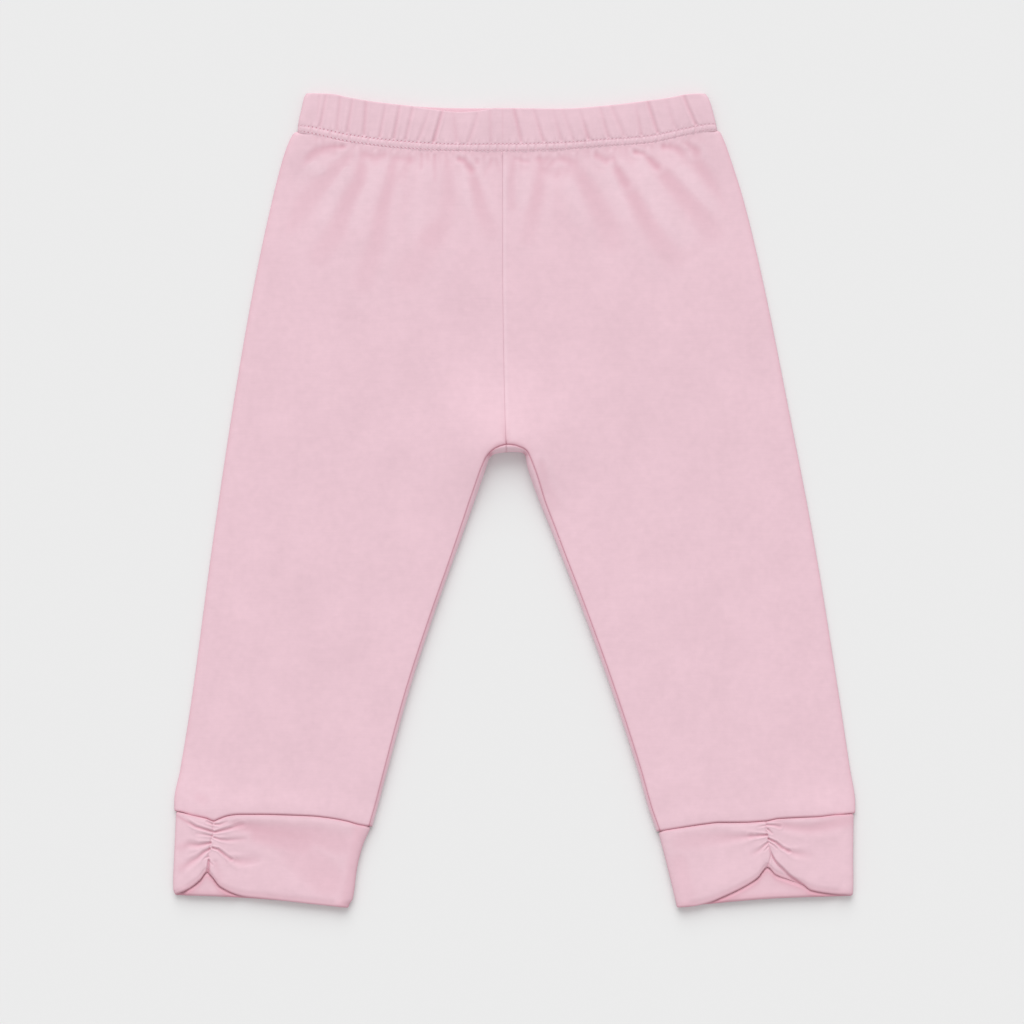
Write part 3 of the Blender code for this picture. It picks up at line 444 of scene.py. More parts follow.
def leg_spot(leg, place, row):
    """Where each place and row of a leg lies in plan, and how near it is to seams and ends."""
    from_waist = row * CENTRE_LENGTH
    to_cuff = (2 - row) * leg.inner_edge.length
    waist_end = 1 - rounded(from_waist / WAIST_ROLL)
    cuff_end = 1 - rounded(to_cuff / CUFF_ROLL)
    around_fold = np.sin(np.clip(place - 2, 0, 1) * np.pi)
    fold_sink = WAIST_FOLD_SINK * (1 - rounded(from_waist / WAIST_FOLD_ROLL))
    fold_sink = fold_sink + CUFF_FOLD_SINK * (1 - rounded(to_cuff / CUFF_FOLD_ROLL))
    sink = WAIST_SINK * waist_end + CUFF_SINK * cuff_end + fold_sink * around_fold
    lines = leg_lines(leg, row)
    plan = leg_plan(leg, lines, place, sink)

    at_waist = leg_plan(leg, leg_lines(leg, np.zeros((1, 1))), np.minimum(place, 4), 0.0)
    at_cuff = leg_plan(leg, leg_lines(leg, np.full((1, 1), 2.0)), place, 0.0)
    seam = leg.cuff_seam
    share = (at_cuff.real - seam.place[0]) / (seam.place[-1] - seam.place[0])
    straight = mix(seam.value[0], seam.value[-1], share)
    cuff_y = np.where(on_back(place), straight, seam(at_cuff.real))
    to_seam = WAIST_SEAM(at_waist.real) + WAIST_TUCK - at_waist.imag
    plan = plan + 1j * to_seam * np.clip(1 - from_waist / WAIST_FADE, 0, 1) ** 2
    plan = plan + 1j * (cuff_y - at_cuff.imag) * np.clip(1 - to_cuff / CUFF_FADE, 0, 1) ** 2
    return Spot(
        place, row, plan, lines, sink, from_waist, to_cuff, waist_end, cuff_end, around_fold,
        above=rise(row, 1, 0.98),
        near_crotch=bell(abs(plan - CROTCH), CROTCH_NEAR),
        seam_distance=np.where(place <= 2, abs(plan - lines.front), FAR),
    )


def on_back(place):
    return (place > 2.5) & (place < 4.5)


def leg_height(spot):
    """Height of the smooth leg, rolled over at its seams and round at its folds."""
    place, lines = spot.place, spot.lines
    inside = np.where(place < 3.5, rise(place, 1.3, 1), 1.0) * rise(spot.row, 1, 1.45)
    outside = rise(place, 1.75, 2) * (place < 3.5) * rise(spot.from_waist, 0, LEVEL_FADE)
    shift = INSEAM_RISE * inside - FOLD_DROP * outside
    level = LEG_TOP + shift * rise(spot.to_cuff, 0, LEVEL_FADE)
    middle = (level + CROTCH_LIFT * bell(abs(spot.plan - CROTCH), CROTCH_SPREAD)) / 2
    half = middle - spot.sink
    beside = np.clip(place, 0, 1) * NEAR_SEAM
    rolled = spot.near_crotch * (1 - spot.above)
    roll = mix(INSEAM_ROLL, CENTRE_ROLL, spot.above) + CROTCH_ROLL * rolled
    seam_sink = mix(INSEAM_SINK, CENTRE_SINK, spot.above) + CROTCH_SINK * rolled
    reach = INSEAM_REACH + CROTCH_REACH * spot.near_crotch
    off = strip_off(lines, place)
    strip_width = np.where(spot.row < 1, FAR, lines.strip)
    return np.select(
        [place <= 2, place <= 3, place <= 4, place <= 4.5],
        [
            middle + half * rounded((strip_width + beside) / reach)
            - seam_sink * (1 - rounded(beside / roll)),
            middle + half * np.cos((place - 2) * np.pi),
            middle - half + 0 * place,
            middle - half * np.cos((place - 4) * np.pi),
        ],
        middle + half * rounded(off / reach)
        - seam_sink * (1 - rounded((lines.strip - off) / INSEAM_ROLL)),
    )


def leg_relief(leg, spot, folds, troughs):
    """Height that creases, puckers, seam allowances and the softness of the cloth add."""
    place, plan = spot.place, spot.plan
    across = np.where(place > 4, 0, np.clip(place - 1, 0, 1))
    puff = LEG_PUFF * mix(PUFF_AT_SEAM, 1, rise(across, 0, 0.25)) * rise(across, 1, 0.8)
    puff = puff * mix(PUFF_AT_WAIST, 1, rise(spot.from_waist, 0, PUFF_FADE))
    swells = waves(plan.real, plan.imag, LEG_SWELLS) * rise(across, 0, 0.1)
    swells = swells + marked(spot.to_cuff, CUFF_SWELL)
    puckers = waves(plan.real, plan.imag, PUCKERS) * marked(spot.from_waist, WAIST_PUCKERS)
    raised = CREASE_RELIEF * folds + puff + swells + puckers
    if leg.side > 0:
        raised = raised + marked(spot.seam_distance, ALLOWANCE_RIDGE) * spot.above
    shown = np.where(place <= 2, rise(place, 2, 1.95), rise(place, 4.5, 5))
    ends = (1 - CUFF_CALM * spot.cuff_end) * (1 - WAIST_CALM * spot.waist_end)
    underside = within(place, 3, 4, BACK_FADE) * (1 - spot.cuff_end)
    return raised * shown * ends + CREASE_RELIEF * np.maximum(troughs, 0) * underside


def leg_painted_shading(leg, spot, folds, troughs):
    """How much painted shade the cloth gets, 0 to 1, or below nothing where it gets painted
    highlight.
    """
    place, plan, above = spot.place, spot.plan, spot.above
    front = rise(place, 2, 1.95)
    # painted shade in the troughs of creases, and painted highlight on their ridges
    painted_shading = CREASE_SHADE * troughs + RIDGE_TINT * (folds + troughs)
    shading = painted_shading * (front + within(place, 3, 4, BACK_FADE))
    # painted shade along the seams and over the crotch
    to_seam = spot.lines.strip - strip_off(spot.lines, place)
    seam_line = np.where(place > 4.5, to_seam, spot.seam_distance)
    shading = shading + mix(marked(seam_line, INSEAM_SHADE), marked(seam_line, CENTRE_SEAM_SHADE), above)
    shading = shading + marked(spot.to_cuff, CUFF_SEAM_SHADE)
    shading = shading + marked(seam_line, CROTCH_SHADE) * spot.near_crotch * (place < 2)
    # painted highlight beside the allowances on the right panel
    if leg.side > 0:
        shading = shading + marked(spot.seam_distance, ALLOWANCE_HIGHLIGHT) * above
        crotch_side = marked(spot.seam_distance, CROTCH_ALLOWANCE_HIGHLIGHT) * spot.near_crotch
        shading = shading + crotch_side * above
    # painted shade below the casing, lumpy with the puckers
    lumpy = 1 + waves(plan.real, plan.imag, PUCKERS[1:]) * PUCKER_SHADE
    shading = shading + marked(spot.from_waist, WAIST_SHADE) * front * lumpy
    # painted shade along the outer fold
    shading = shading + FOLD_EDGE_SHADE * spot.around_fold ** 8
    # the strip gets painted light, and painted shade at the tuck and along the back seam
    strip = STRIP_HIGHLIGHT + marked(abs(plan - leg.tuck), TUCK_SHADE)
    strip = strip + marked(plan.real - CROTCH.real, BACK_SEAM_SHADE)
    return shading + rise(place, 4.4, 4.5) * strip


def leg_surface(leg, place, row):
    """The outside of a leg at each row and place, and the painted shade and highlight it gets there.
    """
    spot = leg_spot(leg, place[None, :], row[:, None])
    moved = spot.plan + np.where(on_back(spot.place), BACK_SHIFT, 0)
    folds, troughs = creases_at(leg.creases, moved)
    height = leg_height(spot) + leg_relief(leg, spot, folds, troughs)
    points = np.stack([spot.plan.real, spot.plan.imag, height], axis=-1)
    return points, np.clip(leg_painted_shading(leg, spot, folds, troughs), PALEST, 1)


def stations(*runs):
    """Places for the lines of a grid: each run is (start, stop, how many)."""
    made = [np.linspace(start, stop, count, endpoint=False) for start, stop, count in runs]
    return np.concatenate([*made, [runs[-1][1]]])


def put_in_scene(name, data):
    made = bpy.data.objects.new(name, data)
    bpy.context.scene.collection.objects.link(made)
    return made


def modelled(name, shape):
    """A smooth object made of a bmesh, which is freed."""
    mesh = bpy.data.meshes.new(name)
    shape.to_mesh(mesh)
    shape.free()
    mesh.shade_smooth()
    return put_in_scene(name, mesh)


def lay_cloth(name, grids, closed, marks=("crease",)):
    """An object made of grids of points, with the cloth's own UV map in metres.

    Each grid is its points and then, for each of the marks, a value at every point.
    """
    whole = bmesh.new()
    for points, *values in grids:
        rows, columns, _ = points.shape
        steps = np.linalg.norm(np.diff(points, axis=1, prepend=points[:, :1]), axis=2)
        climbs = np.linalg.norm(np.diff(points, axis=0, prepend=points[:1]), axis=2)
        lengths = np.stack([np.cumsum(steps, axis=1), np.cumsum(climbs, axis=0)], axis=-1)
        grid = bmesh.new()
        bmesh.ops.create_grid(grid, x_segments=columns - 1, y_segments=rows - 1, size=1)
        part = bpy.data.meshes.new(name)
        grid.to_mesh(part)
        grid.free()
        flat = np.empty(len(part.vertices) * 3)
        part.vertices.foreach_get("co", flat)
        across, up, _ = (flat.reshape(-1, 3).T + 1) / 2
        column = np.rint(across * (columns - 1)).astype(int)
        row = np.rint(up * (rows - 1)).astype(int)
        part.vertices.foreach_set("co", (points[row, column] * MM).ravel())
        corner = np.empty(len(part.loops), int)
        part.loops.foreach_get("vertex_index", corner)
        uv = part.uv_layers.new(name="cloth")
        uv.data.foreach_set("uv", (lengths[row, column] * MM)[corner].ravel())
        for mark, value in zip(marks, values):
            kept = part.attributes.new(mark, "FLOAT", "POINT")
            kept.data.foreach_set("value", value[row, column])
        whole.from_mesh(part)
        bpy.data.meshes.remove(part)
    bmesh.ops.remove_doubles(whole, verts=whole.verts, dist=1e-6)
    if closed:
        bmesh.ops.recalc_face_normals(whole, faces=whole.faces)
    return modelled(name, whole)


def maths_method(operation, swapped=False):
    """A method that adds a Math node for a value and another, or for the two swapped."""
    if swapped:
        return lambda self, other: self.finish.maths(operation, other, self)
    return lambda self, other: self.finish.maths(operation, self, other)


class Amount:
    """A number in a material's nodes, written in expressions as a plain number is."""

    def __init__(self, finish, socket):
        self.finish = finish
        self.socket = socket

    __add__ = __radd__ = maths_method("ADD")
    __mul__ = __rmul__ = maths_method("MULTIPLY")
    __sub__, __rsub__ = maths_method("SUBTRACT"), maths_method("SUBTRACT", swapped=True)
    __truediv__, __rtruediv__ = maths_method("DIVIDE"), maths_method("DIVIDE", swapped=True)
    __pow__, __rpow__ = maths_method("POWER"), maths_method("POWER", swapped=True)


class Finish:
    """The nodes of one material."""

    def __init__(self, name):
        self.material = bpy.data.materials.new(name)
        self.material.use_nodes = True
        self.tree = self.material.node_tree
        self.tree.nodes.clear()

    def node(self, kind, settings, values, output=0):
        """Adds a node: its settings first, then the values or links of its sockets."""
        made = self.tree.nodes.new(kind)
        for name, value in settings.items():
            setattr(made, name, value)
        for name, value in values.items():
            if isinstance(value, Amount):
                self.tree.links.new(value.socket, made.inputs[name])
            else:
                made.inputs[name].default_value = value
        return Amount(self, made.outputs[output]) if made.outputs else None

    def maths(self, operation, first, second=0.0):
        return self.node("ShaderNodeMath", {"operation": operation}, {0: first, 1: second})

    def blend(self, share, start, end):
        """A colour between two colours."""
        settings = {"data_type": "RGBA", "clamp_factor": False}
        return self.node("ShaderNodeMix", settings, {0: share, 6: start, 7: end}, 2)

    def step(self, value, low, high):
        """0 where the value is under low and 1 over high, eased between them."""
        sizes = {"Value": value, "From Min": low, "From Max": high}
        return self.node("ShaderNodeMapRange", {"interpolation_type": "SMOOTHSTEP"}, sizes)

    def noise(self, place, scale, detail):
        values = {"Vector": place, "Scale": scale, "Detail": detail}
        return self.node("ShaderNodeTexNoise", {}, values)

    def surface(self, values):
        """Ends the material in a shader with these values or links."""
        shader = self.node("ShaderNodeBsdfPrincipled", {}, values)
        self.node("ShaderNodeOutputMaterial", {}, {"Surface": shader})
        return self.material


OBJECT_PLACE = 3  # the output of Texture Coordinate that gives Object coordinates
PINK = (0.808, 0.557, 0.628, 1.0)
SHADE_PINK = (0.64, 0.30, 0.375, 1.0)  # painted shade: the cloth in the shade of seams, creases and holes
WALE = 0.00085  # one column of knit stitches, in metres
COURSE = 0.00065
STREAKS, BLOTCHES, MOTTLE = 0.35, 0.9, 0.9  # how much each kind of unevenness shows
KNIT_DEPTH = 0.00004
WALE_RELIEF, LOOP_RELIEF, GRAIN_RELIEF = 0.6, 0.25, 0.8
# painted shade in the needle holes, and how deep they dip in the bump
HOLE_SHADE, HOLE_DEPTH = 0.9, 6.0


def shaded(colour, light):
    return tuple(min(1.0, light * part) for part in colour[:3]) + (1.0,)


def jersey(name, needle_holes=None):
    """Fine cotton jersey: columns of small V stitches, with a faint streak along the courses."""
    finish = Finish(name)
    uv = finish.node("ShaderNodeUVMap", {"uv_map": "cloth"}, {})
    u = finish.node("ShaderNodeSeparateXYZ", {}, {0: uv}, 0)
    v = finish.node("ShaderNodeSeparateXYZ", {}, {0: uv}, 1)
    place = finish.node("ShaderNodeTexCoord", {}, {}, OBJECT_PLACE)

    column = finish.maths("ABSOLUTE", finish.maths("FRACT", u / WALE) - 0.5) * 2
    loops = finish.maths("SINE", (v / COURSE + column * 0.5) * math.tau)
    knit = finish.maths("SINE", column * math.pi) * WALE_RELIEF + loops * LOOP_RELIEF

    stretched = finish.node("ShaderNodeMapping", {}, {"Vector": place, "Scale": (90, 1500, 90)})
    streak = finish.noise(stretched, scale=1.0, detail=2)
    blotch = finish.noise(place, scale=45, detail=3)
    mottle = finish.noise(place, scale=300, detail=3)
    grain = finish.noise(place, scale=1100, detail=2)
    tone = (streak - 0.5) * STREAKS + (blotch - 0.5) * BLOTCHES + (mottle - 0.5) * MOTTLE + 0.5
    colour = finish.blend(tone, shaded(PINK, 0.93), shaded(PINK, 1.05))
    # painted shade from the mark, and painted highlight where it is below nothing
    crease = finish.node("ShaderNodeAttribute", {"attribute_name": "crease"}, {}, 2)
    colour = finish.blend(crease, colour, SHADE_PINK)

    height = knit + (grain - 0.5) * GRAIN_RELIEF
    # the needle holes get painted shade as well as a dip in the bump
    if needle_holes:
        hole = needle_holes(finish, u)
        colour = finish.blend(hole * HOLE_SHADE, colour, SHADE_PINK)
        height = height - hole * HOLE_DEPTH
    bump = finish.node(
        "ShaderNodeBump", {}, {"Strength": 0.5, "Distance": KNIT_DEPTH, "Height": height}
    )
    return finish.surface({
        "Base Color": colour, "Roughness": 0.9, "Normal": bump, "Specular IOR Level": 0.25,
        "Sheen Weight": 0.08, "Sheen Roughness": 0.5, "Sheen Tint": (1.0, 0.88, 0.92, 1.0),
    })


LEG_PLACES = stations(
    (0, 0.12, 3), (0.12, 0.4, 3), (0.4, 1, 2), (1, 1.9, 112), (1.9, 2, 12),
    (2, 2.5, 10), (2.5, 3, 6), (3, 4, 34),
)
STRIP_PLACES = stations((4.0, 4.5, 5), (4.5, 4.85, 4), (4.85, 5.0, 5))

for leg, name, cut in (
    (LEFT_LEG, "leg_left", (0.290, 0.352)),
    (RIGHT_LEG, "leg_right", (0.296, 0.352)),
):
    length = leg.inner_edge.length
    upper = stations((0, 0.8, 5), (0.8, 14, 22), (14, 55, 40), (55, CENTRE_LENGTH, 40))
    lower = stations((0, 14, 20), (14, length - 12, 74), (length - 12, length - 1.6, 10),
                     (length - 1.6, length, 8))
    upper_rows = upper / CENTRE_LENGTH
    lower_rows = 1 + lower / length
    sheet = leg_surface(leg, LEG_PLACES, np.concatenate([upper_rows, lower_rows[1:]]))
    strip = leg_surface(leg, STRIP_PLACES, lower_rows)
    if leg.side > 0:  # turned over, so that both legs face outwards
        sheet, strip = [[part[:, ::-1] for part in grid] for grid in (sheet, strip)]
    panel = lay_cloth(name + "_panel", [sheet, strip], closed=False)
    wall = panel.modifiers.new("wall", "SOLIDIFY")
    wall.thickness = JERSEY_WALL * MM
    wall.offset = -1
    panel.data.materials.append(jersey(name + "_jersey"))
    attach(panel, "root")
    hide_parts(name)


# Waist casing. The tops of the panels are turned in over an elastic and held by a twin-needle
# line, two rows 3.4 mm apart. The elastic gathers the cloth into fine upright creases.

BAND_WALL = 2.2
BAND_INSIDE = 0.6
BAND_TOP_LEVEL = 5.4
BAND_FOLD_REACH = 3.4
BAND_FOLD_UNDER = 2.4
BAND_EDGE_ROLL = 0.3  # the top edge is rounded over this height
BAND_SEAM_ROLL = 0.4
LOWER_NEEDLES = 0.03  # rows as shares of the height of the casing
UPPER_NEEDLES = 0.18
STITCH_PITCH = 2.0
HOLE_RADIUS = 0.42
HOLE_EDGE = (0.3, 1.4)  # a hole fades out between these squares of its radius
CASING_HEIGHT = 20.0

# The sides give x at each y and the top edge y at each x, lower in front by the dip.
BAND_LEFT = Curve([
    (183.9, -108.2), (187.5, -108), (196, -106.2), (201.5, -105), (203.5, -103.9),
])
BAND_RIGHT = Curve([
    (184.7, 101.6), (187.5, 101), (196, 99), (201.5, 97.2), (203.3, 95.9),
])
BAND_TOP = Curve([
    (-104, 203.4), (-91.5, 203), (-81.5, 201), (-69, 199), (-47.5, 196.8),
    (-27, 196), (-6, 195.9), (23, 195.6), (44.5, 197), (62, 199),
    (77, 201), (88.5, 203), (96, 203.2),
])
FRONT_DIP = Curve([(-52.5, 0.0), (-40.0, 1.2), (-27.0, 2.0), (-18.0, 1.4), (-10.0, 0.0)])
BAND_LOW_Y, BAND_TOP_Y = 184.0, 203.4
BAND_PROFILE = Curve([
    (0.0, -1.2), (LOWER_NEEDLES, -1.08), (0.065, -0.93), (0.11, -0.82), (0.15, -0.87),
    (UPPER_NEEDLES, -1.03), (0.215, -0.88), (0.28, -0.75), (0.5, -0.5), (0.75, -0.3), (1.0, -0.3),
])

Gather = namedtuple("Gather", "low_x top_x low_depth top_depth width")
GATHERS = [Gather(*row) for row in (
    (-104.5, -104.5, 0.3, 0.5, 1.8), (-98.2, -97.3, 0.2, 0.2, 0.8), (-96.8, -94.2, 0.6, 0.35, 1),
    (-88.5, -87, 0.4, 0.4, 1.1), (-83.3, -81, 0.55, 0.4, 1.1), (-75, -74, 0.6, 0.6, 1.2),
    (-67, -64.5, 0.5, 0.3, 1.1), (-60, -57.5, 0.65, 0.5, 1.1), (-54, -51, 0.45, 0.45, 1.1),
    (-47.5, -43, 0.4, 0.2, 1.3), (-40, -36.5, 0.9, 0.75, 1.1), (-28.5, -30.3, 0.45, 0.25, 1.6),
    (-22.5, -18.5, 0.4, 0.3, 1.5), (-11.5, -12, 0.35, 0.35, 1.2), (3.5, 0.5, 0.6, 0.75, 1.2),
    (14.5, 10.5, 0.65, 0.3, 1.2), (23.5, 20, 0.5, 0.15, 1.3), (29.5, 25, 0.3, 0.2, 1.3),
    (37, 33.5, 0.8, 0.15, 1.2), (47, 43.5, 0.55, 0.3, 1.2), (55, 49.5, 0.35, 0.3, 1.5),
    (63.5, 61, 0.5, 0.2, 1.2), (71.5, 67.5, 0.7, 0.7, 1.2), (80.5, 76.5, 0.3, 0.15, 1.5),
    (90.5, 85.5, 0.65, 0.65, 1.1), (98, 96.5, 0.2, 0.5, 1.8),
)]
GATHER_ROWS = (0.26, 0.88)  # the rows at which those places were measured
GATHER_TIGHT = 0.72
GATHER_TOP = 0.7  # at the top edge the gathers are shallower
GATHER_RIDGE = Mark(0.4, 2.0, 0.9)  # beside a gather, in shares of its depth and width
NEEDLE_PUCKERS = Mark(0.34, (LOWER_NEEDLES + UPPER_NEEDLES) / 2, 0.08)
PUCKERS_ABOVE = Mark(0.14, UPPER_NEEDLES + 0.06, 0.05)
# Painted shade on needle row, seam, gathers, top edge and inside; puckers: painted highlight and
# shade.
NEEDLE_ROW_SHADE = Mark(0.12, LOWER_NEEDLES, 0.025)
BAND_SEAM_SHADE = Mark(0.3, 0.0, 0.4)
BAND_PUCKER_SHADING = -0.5
GATHER_SHADE, TOP_EDGE_SHADE, INSIDE_SHADE = 0.45, 0.35, 0.1
CASING_TINT = -0.03  # stretched over the elastic, the cloth is a little paler
BACK_GATHERS = -6.0  # the back is gathered like the front seen in a mirror, moved by so much
BACK_RELIEF = 0.3  # under the garment's weight, less of a gather or crease is left
BAND_SIDES, BAND_BACK_SIDES = 0.015, 0.03  # the relief dies out over these shares


def flat_ring(place, first, second, reach, under, inset, floor, roof):
    """x and z round a flattened ring of cloth whose sides lie at first and at second.

    The places are 0 to 1 across the front from the first side to the second, 1 to 2 round
    the second, 2 to 3 back across the underside and 3 to 4 round the first.
    """
    middle = (floor + roof) / 2
    half = (roof - floor) / 2
    way = np.sign(second - first)
    second_turn = (place - 1) * np.pi
    first_turn = (4 - place) * np.pi
    second_reach = np.where(place < 1.5, reach, under) - inset
    first_reach = np.where(place > 3.5, reach, under) - inset
    parts = [place <= 1, place <= 2, place <= 3]
    x = np.select(
        parts,
        [
            mix(first + way * reach, second - way * reach, place),
            second - way * (inset + second_reach * (1 - np.sin(second_turn))),
            mix(second - way * under, first + way * under, place - 2),
        ],
        first + way * (inset + first_reach * (1 - np.sin(first_turn))),
    )
    z = np.select(
        parts,
        [roof + 0 * x, middle + half * np.cos(second_turn), floor + 0 * x],
        middle + half * np.cos(first_turn),
    )
    return x, z


def ring_skins(place, spans, reach, under, layers, up_to):
    """x, y and z of each layer of a flattened ring.

    Each span is the ring's two sides: at its start, at the rows and at its end. Each layer is
    its inset, floor and roof, and up_to gives y from the places in x at the start and the end.
    """
    skins = []
    for inset, floor, roof in layers:
        (start_x, _), (x, z), (end_x, _) = [
            flat_ring(place, *span, reach, under, inset, floor, roof) for span in spans
        ]
        skins.append([x, up_to(start_x, end_x), z])
    return skins


def between_skins(skins, share):
    """Points of a wall: share 0 is its outside and share 1 its inside."""
    outer, inner = [np.stack(skin, axis=-1) for skin in skins]
    return mix(outer, inner, share[..., None])


def fold_edge(place):
    """1 at the outermost line of each fold of a flattened ring, and 0 away from it."""
    edge = abs(np.sin(np.clip(place, 1, 4) * np.pi)) ** 8
    return np.where((place < 2) | (place > 3), edge, 0)


def band_relief(x, row):
    """Height of the gathers and small puckers at the needle rows, and their painted shade and
    highlight.
    """
    ridges = []
    troughs = []
    share = (row - GATHER_ROWS[0]) / (GATHER_ROWS[1] - GATHER_ROWS[0])
    for gather in GATHERS:
        off = abs(x - mix(gather.low_x, gather.top_x, share)) / (GATHER_TIGHT * gather.width)
        depth = mix(gather.low_depth, gather.top_depth, np.clip(share, 0, 1))
        ridges.append(depth * marked(off, GATHER_RIDGE))
        troughs.append(depth * np.exp(-(off ** CREASE_POWER)))
    trough = deepest(troughs)
    upper = rise(row, UPPER_NEEDLES, UPPER_NEEDLES + 0.06)
    gathers = (deepest(ridges) - trough) * upper * mix(1, GATHER_TOP, row)
    puckers = waves(x, row, PUCKERS) * (marked(row, NEEDLE_PUCKERS) + marked(row, PUCKERS_ABOVE))
    seam_off = x - CENTRE_SEAM.value[-1]
    seam = CENTRE_SINK * (1 - rounded(abs(seam_off) / CENTRE_ROLL))
    shading = trough * upper + marked(seam_off, BAND_SEAM_SHADE) + BAND_PUCKER_SHADING * puckers
    return gathers + puckers - seam, shading + marked(row, NEEDLE_ROW_SHADE)


def band_surface(place, row, share, top_bulge, low_bulge):
    """The casing at each place and row: share 0 is its outside and share 1 its inside."""
    place = place[None, :]
    side_y = mix(BAND_LOW_Y, BAND_TOP_Y, row)
    spans = [
        (BAND_LEFT.value[0], BAND_RIGHT.value[0]),
        (BAND_LEFT(side_y), BAND_RIGHT(side_y)),
        (BAND_LEFT.value[-1], BAND_RIGHT.value[-1]),
    ]
    layers = [
        (0.0, 0.0, BAND_TOP_LEVEL + BAND_PROFILE(row)),
        (BAND_WALL, BAND_WALL, BAND_WALL + BAND_INSIDE + 0 * row),
    ]

    def up_to(low_x, top_x):
        top_y = BAND_TOP(top_x) - np.where(place <= 1, FRONT_DIP(top_x), 0)
        y = mix(WAIST_SEAM(low_x) + BAND_SEAM_ROLL, top_y - BAND_EDGE_ROLL, row)
        return y + BAND_EDGE_ROLL * top_bulge - BAND_SEAM_ROLL * low_bulge

    skins = ring_skins(place, spans, BAND_FOLD_REACH, BAND_FOLD_UNDER, layers, up_to)
    x = skins[0][0]
    front = within(place, 0, 1, BAND_SIDES)
    behind = within(place, 2, 3, BAND_BACK_SIDES)
    height, shading = band_relief(x, row)
    _, back_shading = band_relief(BACK_GATHERS - x, row)
    relief = height * front + BACK_RELIEF * np.maximum(back_shading, 0) * behind
    skins[0][2] = skins[0][2] + relief
    # painted shade in the gathers, along the folded edges and the top edge, and on the inside
    painted_shading = GATHER_SHADE * (shading * front + back_shading * behind) + FOLD_EDGE_SHADE * fold_edge(place)
    painted_shading = painted_shading * (1 - share) + TOP_EDGE_SHADE * top_bulge ** 2 + INSIDE_SHADE * share
    return between_skins(skins, share), np.clip(painted_shading + CASING_TINT, PALEST, 1)


def wall_loop(outer, edge, inner):
    """Rows that go up the outside of a wall, over its edge, down its inside and back.

    The columns are the row, the share of the way through the wall, and how far the upper
    and the lower edge bulge there, 0 to 1.
    """
    turn = np.linspace(0, np.pi, edge)[1:-1]
    through = (1 - np.cos(turn)) / 2
    loop = [(row, 0.0, 0.0, 0.0) for row in outer]
    loop += [(1.0, share, bulge, 0.0) for share, bulge in zip(through, np.sin(turn))]
    loop += [(row, 1.0, 0.0, 0.0) for row in inner[::-1]]
    loop += [(0.0, 1 - share, 0.0, bulge) for share, bulge in zip(through, np.sin(turn))]
    return np.array(loop + loop[:1])


BAND_PLACES = stations((0, 1, 520), (1, 2, 16), (2, 3, 90), (3, 4, 16))
band_loop = wall_loop(stations((0, 0.26, 20), (0.26, 1, 24)), 11, stations((0, 1, 10)))
row, share, top_bulge, low_bulge = [column[:, None] for column in band_loop.T]
points, painted_shading = band_surface(BAND_PLACES, row, share, top_bulge, low_bulge)
band_grid = (points, painted_shading, row + 0 * painted_shading)
band = lay_cloth("waist_casing", [band_grid], closed=True, marks=("crease", "row"))

needle_lines = []
for needle_row in (LOWER_NEEDLES, UPPER_NEEDLES):
    row = np.full((1, 1), needle_row)
    needle_lines.append(band_surface(BAND_PLACES, row, 0 * row, 0 * row, 0 * row)[0][0])


def stitched(line):
    """Lengths along a line of points, and the pitch that fills it with whole stitches."""
    steps = np.linalg.norm(np.diff(line, axis=0), axis=1)
    along = np.concatenate([[0], np.cumsum(steps)])
    return along, along[-1] / int(along[-1] / STITCH_PITCH)


def waist_needle_holes(finish, u):
    """Needle holes in two rows, between one stitch and the next, darkened with painted shade."""
    row = finish.node("ShaderNodeAttribute", {"attribute_name": "row"}, {}, 2)
    shown = 0.0
    for needle_row, line in zip((LOWER_NEEDLES, UPPER_NEEDLES), needle_lines):
        pitch = stitched(line)[1]
        along = finish.maths("FRACT", u / (pitch * MM) + 0.5) - 0.5
        off = (row - needle_row) * (CASING_HEIGHT / HOLE_RADIUS)
        reach = (along * (pitch / HOLE_RADIUS)) ** 2 + off ** 2
        shown = finish.maths("MAXIMUM", 1 - finish.step(reach, *HOLE_EDGE), shown)
    return shown


band.data.materials.append(jersey("waistband_jersey", needle_holes=waist_needle_holes))
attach(band, "root")
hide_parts("waistband")


# Twin-needle stitches of the casing: two rows of short straight stitches in pink thread, each
# drawn down into the cloth at both ends.

THREAD_RADIUS = 0.17
STITCH_LENGTH = 1.5
STITCH_TILT = 0.4  # a stitch follows the line so far on both sides of its middle
STITCH_BURY = 0.02
THREAD_PINK = (0.86, 0.62, 0.70, 1.0)


def sew(name, lines):
    """Stitches one after another along lines of points, as one mesh."""
    seam = bmesh.new()
    for line in lines:
        along, pitch = stitched(line)
        middles = np.arange(0.5 * pitch, along[-1], pitch)
        starts, ends = [
            np.array([np.interp(middles + off, along, line[:, k]) for k in range(3)]).T
            for off in (-STITCH_TILT, STITCH_TILT)
        ]
        for start, end in zip(starts, ends):
            stitch = bmesh.ops.create_uvsphere(seam, u_segments=7, v_segments=6, radius=1)["verts"]
            size = (THREAD_RADIUS, THREAD_RADIUS, STITCH_LENGTH / 2)
            turn = Vector(end - start).to_track_quat("Z", "Y").to_matrix()
            bmesh.ops.scale(seam, verts=stitch, vec=size)
            bmesh.ops.rotate(seam, verts=stitch, cent=(0, 0, 0), matrix=turn)
            bmesh.ops.translate(seam, verts=stitch, vec=(start + end) / 2)
    bmesh.ops.scale(seam, verts=seam.verts, vec=(MM, MM, MM))
    return modelled(name, seam)


